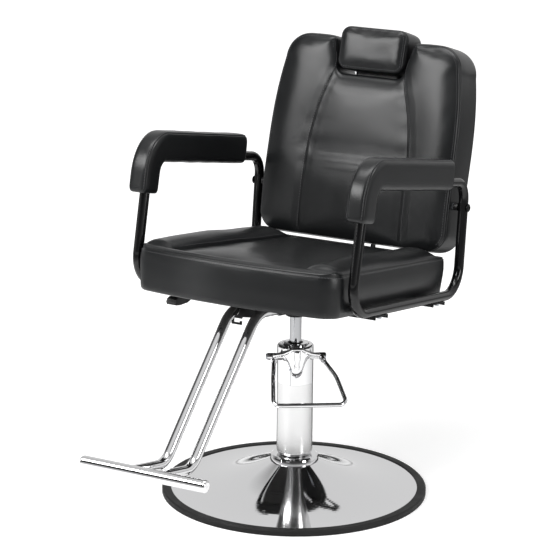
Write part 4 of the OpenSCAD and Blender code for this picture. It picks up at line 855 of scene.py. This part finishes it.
def back_grid(columns, rows):
    """Points between bottom edge and top edge, moved out to the side's curve and in to
    the seam's, so that the columns follow both."""
    i, q = np.meshgrid(columns, rows)
    m = np.abs(i)

    def between(column):
        """The column's points, from the bottom edge to the top edge."""
        return bottom_edge(column) * (1 - q[..., None]) + top_edge(column) * q[..., None]

    at, outer, seam = between(m), between([LAST_COLUMN]), between([SEAM_COLUMN])
    to_side = np.maximum(0, (m - SEAM_COLUMN) / (LAST_COLUMN - SEAM_COLUMN))
    to_seam = np.where(m < SEAM_COLUMN, m / SEAM_COLUMN, 1 - to_side)
    x = at[..., 0] + to_side**2 * (back_side(outer[..., 1]) - outer[..., 0])
    x = x + to_seam * (seam_line(seam[..., 1]) - seam[..., 0]) * (1 - q**6)
    return np.stack([np.sign(i) * x, at[..., 1]], -1)


def back_relief(x, s, d):
    """The face's height over its edge seam: a crown that swells in from the edge, the
    valley and groove of each seam, a soft fold across the panel, the lumbar foam, which
    swells out below it, and puckers."""
    from_seam = np.abs(x) - seam_line(s)
    crown = BACK_CROWN * swell(d / 46)
    inside = smooth(d / 20)
    seam = (1.8 * dent(from_seam / 24) + 1.2 * dent(from_seam / 2.6)) * inside
    panel = smooth(-from_seam / 20)
    fold = np.where(from_seam < 0, FOLD_DEPTH * dent((s - FOLD_AT) / 36) * panel, 0)
    lumbar = LUMBAR_RISE * smooth((106 - s) / 140) * smooth((s - BACK_FOOT) / 120)
    lumbar = lumbar * smooth(-from_seam / 80)
    pucker = 0.3 * dent(from_seam / 30) * np.sin(s / 6 + 2.2 * np.sin(s / 37)) * inside
    pucker += 0.25 * dent((s - 80) / 40) * np.sin(x / 6 + 1.5 * np.sin(x / 29)) * panel
    sag = 0.6 * ripples(x, s, 190, 8) * smooth(d / 40)
    return np.maximum(0.4, crown + lumbar - seam - fold + pucker + sag)


def foot_drawn_back(points):
    """The front moved back towards the foot, which swings at the seat in a recline. The
    rear edge stays, and what lies between moves by its share."""
    x, s, t = np.moveaxis(points, -1, 0)
    share = smooth((30 - s) / 150) * smooth((t - BACK_REAR) / (BACK_FRONT - BACK_REAR))
    return np.stack([x, s, t - FOOT_DRAW * share], -1)


# %% The backrest cushion
ROWS = [0, 0.012, 0.03, 0.065, 0.11, 0.2, 0.31, 0.4, 0.43, 0.46, 0.49, 0.52]
ROWS += [0.62, 0.74, 0.84, 0.91, 0.96, 0.985, 1]
COLUMNS = [0, 1, 2, 3, 3.7, 3.9, 4, 4.1, 4.35, 5, 6, 7, 8, 9, 10, 11, 12, 12.6, 13]
columns = both_sides(COLUMNS, 4)
back_xy = back_grid(columns, finer(ROWS, 4))
back_side_curve = through(
    [(3, -66), (0.3, -62), (-1.2, -50), (-1.5, -29), (-1.5, 3), (-0.8, 21), (0, 23.4)],
    22,
)
back_edge = [(1.3, 24.4), (0.9, 25.3), (0, BACK_FRONT)]
back_levels = [(9, -8.0), (9, BACK_REAR), *map(tuple, back_side_curve), *back_edge]
back_points, back_faces = padded_shell(back_xy, back_levels, back_relief)
back = piece("backrest_upholstery", in_back(foot_drawn_back(back_points)), back_faces, VINYL)
print("back", len(back_points), "points")

# %% Stuffing and sewing the backrest
bx, bs, bt = back_points.T
from_seam = np.abs(bx) - seam_line(bs)
on_edge = np.abs(bt - BACK_FRONT) < 1.2
on_face = bt > BACK_FRONT + 1
on_seam = on_face & (np.abs(from_seam) < 3)
in_notch = (np.abs(bx) < 100) & (bs > NOTCH_FLOOR - 4) & (bt < BACK_FRONT + 1)
stuff(back, (bt < BACK_REAR + 12) | on_edge | on_seam | in_notch, 5.5, 5)


def back_path(x, s, front=34.0):
    """A path over the back, from which the stitches find their way to the cover."""
    return in_back(foot_drawn_back(np.stack(np.broadcast_arrays(x, s, front), -1)))


seam_s = np.linspace(BACK_FOOT + 14, 318, 90)
seam_x = seam_line(seam_s)
# the border starts at the middle of the foot, so that neither side is cut in two
border = np.roll(drawn_in(border_of(back_xy), 7), -(len(columns) // 2), axis=0)
border = border[(np.abs(border[:, 0]) > 100) | (border[:, 1] < 0)]
sides = [border[(border[:, 0] * side > 100) & (border[:, 1] > BACK_FOOT + 16)] for side in (1, -1)]
sew(
    "backrest_stitching",
    back,
    [
        *(back_path(side * (seam_x + BESIDE_SEAM), seam_s) for side in (1, -1)),
        *(back_path(line[:, 0], line[:, 1], BACK_FRONT + 5) for line in sides),
    ],
    "back",
)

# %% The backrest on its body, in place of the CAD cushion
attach(back, "back")
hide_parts("back_cushion")

# %% [markdown]
# ## The headrest
#
# A small full cushion on two posts, sewn from a face, a back and a strip between. Foam
# fills it tightly, so its face is crowned and its corners are round.

# %% The headrest cushion
HEAD_W, HEAD_H, HEAD_T, HEAD_FRONT, HEAD_FOOT = 166.0, 98.0, 84.0, 34.0, 276.0
HEAD_ROLL, HEAD_CROWN, HEAD_CORNER = 4, 9, 21


def head_grid(across, up):
    """The outline's points, whose sides and edges bow out a little."""
    p, q = np.meshgrid(across, up)
    x, y = p * HEAD_W / 2, (2 * q - 1) * HEAD_H / 2
    x, y = round_corner(x, y, HEAD_W / 2, HEAD_H / 2, HEAD_CORNER)
    rise = y + HEAD_FOOT + HEAD_H / 2 - 0.8 * (1 - p**2) * (1 - 2 * q)
    return np.stack([x + 0.4 * p**3 * np.sin(np.pi * q), rise], -1)


def head_relief(x, s, d):
    """A roll round the edge and a crown, less the edge seam's groove."""
    puff = HEAD_ROLL + HEAD_CROWN * swell(d / 34)
    pucker = 0.35 * dent(d / 22) * np.sin(np.arctan2(s - HEAD_FOOT - HEAD_H / 2, x / 2) * 24)
    sag = 0.4 * ripples(x, s, 70, 5) * smooth(d / 20)
    return puff * smooth(d / 3 + 0.35) + pucker * smooth(d / 8) + sag


head_across = both_sides([0, 0.3, 0.58, 0.8, 0.93, 0.98, 1], 5)
head_up = (both_sides([0, 0.4, 0.75, 0.92, 0.975, 1], 5) + 1) / 2
rear = HEAD_FRONT - HEAD_T
head_side = through(
    [(14, -52), (5, -48), (1.5, -41), (0, -16), (0.3, 20), (1.4, 26), (2.6, 29)],
    22,
)
head_xy = head_grid(head_across, head_up)
head_levels = [*map(tuple, head_side), (3.6, HEAD_FRONT - 4)]
head_points, head_faces = padded_shell(head_xy, head_levels, head_relief)
headrest = piece("headrest_upholstery", in_back(head_points), head_faces, VINYL)
head_held = (head_points[:, 2] < rear + 6) | (np.abs(head_points[:, 2] - HEAD_FRONT + 4) < 1)
stuff(headrest, head_held, 4, 0.8)
head_edge = drawn_in(border_of(head_xy), 7)
head_edge = np.vstack([head_edge, head_edge[:1]])
head_row = in_back(np.column_stack([head_edge, np.full(len(head_edge), HEAD_FRONT + 4)]))
sew("headrest_stitching", headrest, [head_row], "headrest")
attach(headrest, "headrest")
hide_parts("headrest_pad")
print("headrest", len(head_points), "points")

# %% [markdown]
# ## The arm pads
#
# Each pad is a sleeve of foam round the tube: along the top rail, over the upper bend
# and down the front post, where it ends. Its section is a round-edged block, carried
# along the tube's own path, and two seams run along its outer corners.

# %% The tube's path under the pad
ARM_X, ARM_BORE, PAD_W, PAD_DROP, PAD_L = 262.0, 11.3, 47.0, 84.0, 385.0
ARM_PATH = np.array([(-247.0, 11.0), (-226.0, 287.0), (261.0, 261.0)])
ARM_BEND = 45.0
# how far the pad reaches outward and inward of the tube, on the post and on the rail
POST_OUT, RAIL_OUT, POST_IN, RAIL_IN = 37.5, 51, 25, 17
SQUARENESS, PAD_SEAMS, GROOVE_HALF, GROOVE_DEPTH = 0.46, (52, 128), 0.09, 0.06
up_way = (ARM_PATH[1] - ARM_PATH[0]) / np.linalg.norm(ARM_PATH[1] - ARM_PATH[0])
back_way = (ARM_PATH[2] - ARM_PATH[1]) / np.linalg.norm(ARM_PATH[2] - ARM_PATH[1])
bend = math.acos(float(up_way @ back_way))
reach = ARM_BEND * math.tan(bend / 2)
bend_centre = ARM_PATH[1] - reach * up_way + ARM_BEND * np.array([up_way[1], -up_way[0]])


def tube_frame(run):
    """Centre and outward direction at a run from the upper corner: straight, then an
    arc whose angle grows evenly over twice the tangent length, then straight."""
    run = np.asarray(run, float)[:, None]
    heading = math.atan2(up_way[1], up_way[0]) - bend * np.clip((run + reach) / (2 * reach), 0, 1)
    out = np.concatenate([-np.sin(heading), np.cos(heading)], 1)
    arc = bend_centre + ARM_BEND * out
    before, after = ARM_PATH[1] + run * up_way, ARM_PATH[1] + run * back_way
    return np.where(run <= -reach, before, np.where(run >= reach, after, arc)), out


def off_tube(x, y, centre, out):
    """Points at x across and y outward of the tube's middle line."""
    return np.stack([x, centre[..., 0] + y * out[..., 0], centre[..., 1] + y * out[..., 1]], -1)


# %% The pad's skin
PAD_TURNS = 72
PAD_END = np.array([0, 0.6, 1.6, 3, 5, 8, 12, 17, 24])
over_bend, on_rail = np.linspace(-54, 54, 37), np.linspace(64, PAD_L - 30, 30)
pad_runs = np.concatenate([-PAD_DROP + PAD_END, over_bend, on_rail, PAD_L - PAD_END[::-1]])


def from_end(run):
    """The distance from the pad's nearer end."""
    return np.minimum(run + PAD_DROP, PAD_L - run)


def pad_section(run, a):
    """Across and outward at angle a: a superellipse, whose sine and cosine are raised to
    the power SQUARENESS, and which closes in at both ends of the pad. The seams are two
    grooves at its outer corners."""
    t = smooth((run + 45) / 90)
    out = POST_OUT + (RAIL_OUT - POST_OUT) * t
    inward = POST_IN + (RAIL_IN - POST_IN) * t
    end = from_end(run)
    full = 0.8 + 0.2 * swell(end / 13)
    c, s = np.cos(a), np.sin(a)
    x = PAD_W / 2 * full * np.sign(c) * np.abs(c) ** SQUARENESS
    rise = (out + inward) / 2 * full * np.sign(s) * np.abs(s) ** SQUARENESS
    y = (out - inward) / 2 * full + rise
    first, second = (dent((a - math.radians(seam)) / GROOVE_HALF) for seam in PAD_SEAMS)
    shrink = 1 - GROOVE_DEPTH * np.maximum(first, second) * smooth(end / 10)
    return x * shrink, (y - 5) * shrink + 5


def arm_pad(name, side):
    """Loops of skin along the runs, then loops of the bore back again, joined up."""
    centre, out = (line[:, None] for line in tube_frame(pad_runs))
    a = 1.5 * np.pi + np.arange(PAD_TURNS) * 2 * np.pi / PAD_TURNS
    a = np.where(a > 2 * np.pi, a - 2 * np.pi, a)
    run, turn = np.meshgrid(pad_runs, a, indexing="ij")
    x, y = pad_section(run, turn)
    waves = ripples(run, 40 * turn, 70, 11)
    skin = off_tube(x, y + 0.35 * waves * smooth(from_end(run) / 20), centre, out)
    r = ARM_BORE / math.cos(math.pi / PAD_TURNS)
    bore = off_tube(np.broadcast_to(r * np.cos(a), x.shape), r * np.sin(a), centre, out)
    loops = np.concatenate([skin, bore[::-1]])
    m, n = loops.shape[:2]
    r0, i = np.meshgrid(np.arange(m), np.arange(n), indexing="ij")
    r1, j = (r0 + 1) % m, (i + 1) % n
    faces = np.stack([r0 * n + i, r1 * n + i, r1 * n + j, r0 * n + j], -1).reshape(-1, 4)
    if side < 0:
        faces = faces[:, ::-1]
    points = loops.reshape(-1, 3) * [side, 1, 1] + [side * ARM_X, 0, 0]
    made = piece(name, in_seat(points), faces.tolist(), VINYL)
    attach(made, "seat")
    return made


def pad_rows(side):
    """Two rows of stitches on the top strip, just inside its seams."""
    runs = np.linspace(7 - PAD_DROP, PAD_L - 7, 160)
    centre, out = tube_frame(runs)
    for degrees in (60, 120):
        x, y = pad_section(runs, np.full_like(runs, math.radians(degrees)))
        yield in_seat(off_tube(side * (x + ARM_X), y, centre, out))


for side, word in ((1, "left"), (-1, "right")):
    pad = arm_pad("arm_pad_cover_" + word, side)
    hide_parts("arm_pad_" + word)
    sew("arm_pad_stitching_" + word, pad, list(pad_rows(side)), "seat")
print("pads", len(pad.data.vertices), "points each")

# %% [markdown]
# ## Floor, light and background
#
# The camera sees a pale floor that runs far out in a white room, so all that lies
# behind the chair is white. Black vinyl and chrome are drawn by what they mirror, and
# mirrored rays see another room. It is light along the horizon, overhead and behind the
# chair, and dim in front. Its floor glows most in front and grows darker further out,
# and two dim strips on it, behind the chair, give upright chrome its thin dark edges.
# The lamps are large and soft, apart from one narrow strip beside the column.


# %% Floor
FLOOR_R, FLOOR_SIDES = 25, 64
FLOOR_PALE, FLOOR_DIM = "#F2F2F2", "#3A3A3B"
# degrees: each strip's turn from ahead to the sitter's left, its half width, its edge
DIM_STRIPS, STRIP_EDGE = ((177, 14), (-123, 13)), 6


def pale_floor():
    """Matt and nearly white. It glows for the camera, more so further out, and for
    mirrored rays, apart from what is hidden from them by the strips and by distance."""
    made, tree, body, place = finish("pale_floor", FLOOR_PALE, Roughness=0.9)
    ray = add(tree, "LightPath").outputs
    spot = add(tree, "SeparateXYZ", {0: place}).outputs
    out = add(tree, "VectorMath", {0: place}, operation="LENGTH").outputs["Value"]
    front = math_node(tree, "MULTIPLY", spot["Y"], -1.0)
    shade = spread(tree, out, 1.35, 2.0, 0.0, 0.5)
    for degrees, half in DIM_STRIPS:
        # the cosine of the angle between the spot and the strip, from their dot product
        angle = math.radians(degrees)
        side = math_node(tree, "MULTIPLY", spot["X"], math.sin(angle))
        dot = math_node(tree, "MULTIPLY_ADD", front, math.cos(angle), side)
        near = math_node(tree, "DIVIDE", dot, out)
        rim, core = (math.cos(math.radians(turned)) for turned in (half, half - STRIP_EDGE))
        shade = math_node(tree, "MAXIMUM", shade, spread(tree, near, rim, core, 0.0, 1.0))
    hidden = math_node(tree, "MULTIPLY", shade, ray["Is Glossy Ray"])
    tree.links.new(blend(tree, hidden, FLOOR_PALE, FLOOR_DIM), body.inputs["Base Color"])
    ahead = spread(tree, spot["Y"], -0.2, 0.9, 1.0, 0.15)
    close = spread(tree, out, 1.35, 2.1, 0.35, 0.3)
    mirrored = math_node(tree, "MULTIPLY", ahead, close)
    mirrored = math_node(tree, "MULTIPLY", ray["Is Glossy Ray"], mirrored)
    seen = math_node(tree, "MAXIMUM", ray["Is Camera Ray"], mirrored)
    lit = math_node(tree, "SUBTRACT", seen, hidden, use_clamp=True)
    glow = spread(tree, out, 0.9, 3.2, 0.36, 0.66)
    body.inputs["Emission Color"].default_value = (1, 1, 1, 1)
    tree.links.new(math_node(tree, "MULTIPLY", lit, glow), body.inputs["Emission Strength"])
    return made


ring = np.arange(FLOOR_SIDES) * 2 * np.pi / FLOOR_SIDES
flat = [FLOOR_R * np.cos(ring), FLOOR_R * np.sin(ring), np.zeros(FLOOR_SIDES)]
floor = piece("floor", np.column_stack(flat), [list(range(FLOOR_SIDES))], pale_floor())

# %% Room
world = bpy.data.worlds.new("room")
bpy.context.scene.world = world
world.use_nodes = True
room = world.node_tree
path = add(room, "LightPath").outputs
mirrored = math_node(room, "MAXIMUM", path["Is Glossy Ray"], path["Is Transmission Ray"])
way = add(room, "TexCoord").outputs["Generated"]
part = add(room, "SeparateXYZ", {0: way}).outputs
walls = spread(room, part["Z"], 0.0, 0.18, 0.9, 0.05)
overhead = spread(room, part["Z"], 0.6, 0.88, 0.0, 0.8)
behind = spread(room, part["Y"], 0.1, 0.5, 0.0, 0.76)
for lighter in (overhead, behind):
    walls = math_node(room, "MAXIMUM", walls, lighter)
# other rays see an even grey, and the camera sees white
inputs = {"Factor": mirrored, "A": 0.5, "B": walls}
level = add(room, "Mix", inputs, data_type="FLOAT").outputs["Result"]
inputs = {"Factor": path["Is Camera Ray"], "A": level, "B": 1.0}
shown = add(room, "Mix", inputs, data_type="FLOAT").outputs["Result"]
backdrop = room.nodes["Background"]
backdrop.inputs["Color"].default_value = (1, 1, 1, 1)
room.links.new(shown, backdrop.inputs["Strength"])


# %% Lamps
def soft_box(name, place, aim, width, height, power):
    """A rectangular lamp at place that faces aim and isn't seen by the camera."""
    data = bpy.data.lights.new(name, "AREA")
    data.shape, data.size, data.size_y, data.energy = "RECTANGLE", width, height, power
    lamp = placed(name, data)
    lamp.location = place
    lamp.rotation_euler = (Vector(aim) - Vector(place)).to_track_quat("-Z", "Y").to_euler()
    lamp.visible_camera = False


soft_box("key", (-0.95, -2.05, 2.15), (0, 0.2, 0.7), 1.9, 0.9, 60)
soft_box("side", (3.0, -0.6, 1.6), (0, 0, 0.6), 0.8, 2.0, 34)
soft_box("top", (0.1, -0.2, 3.1), (0, 0, 0.6), 2.4, 0.8, 40)
soft_box("strip", (-0.67, -1.0, 0.7), (0, 0, 0.7), 0.02, 1.2, 0.9)
bpy.context.scene.view_settings.view_transform = "Standard"
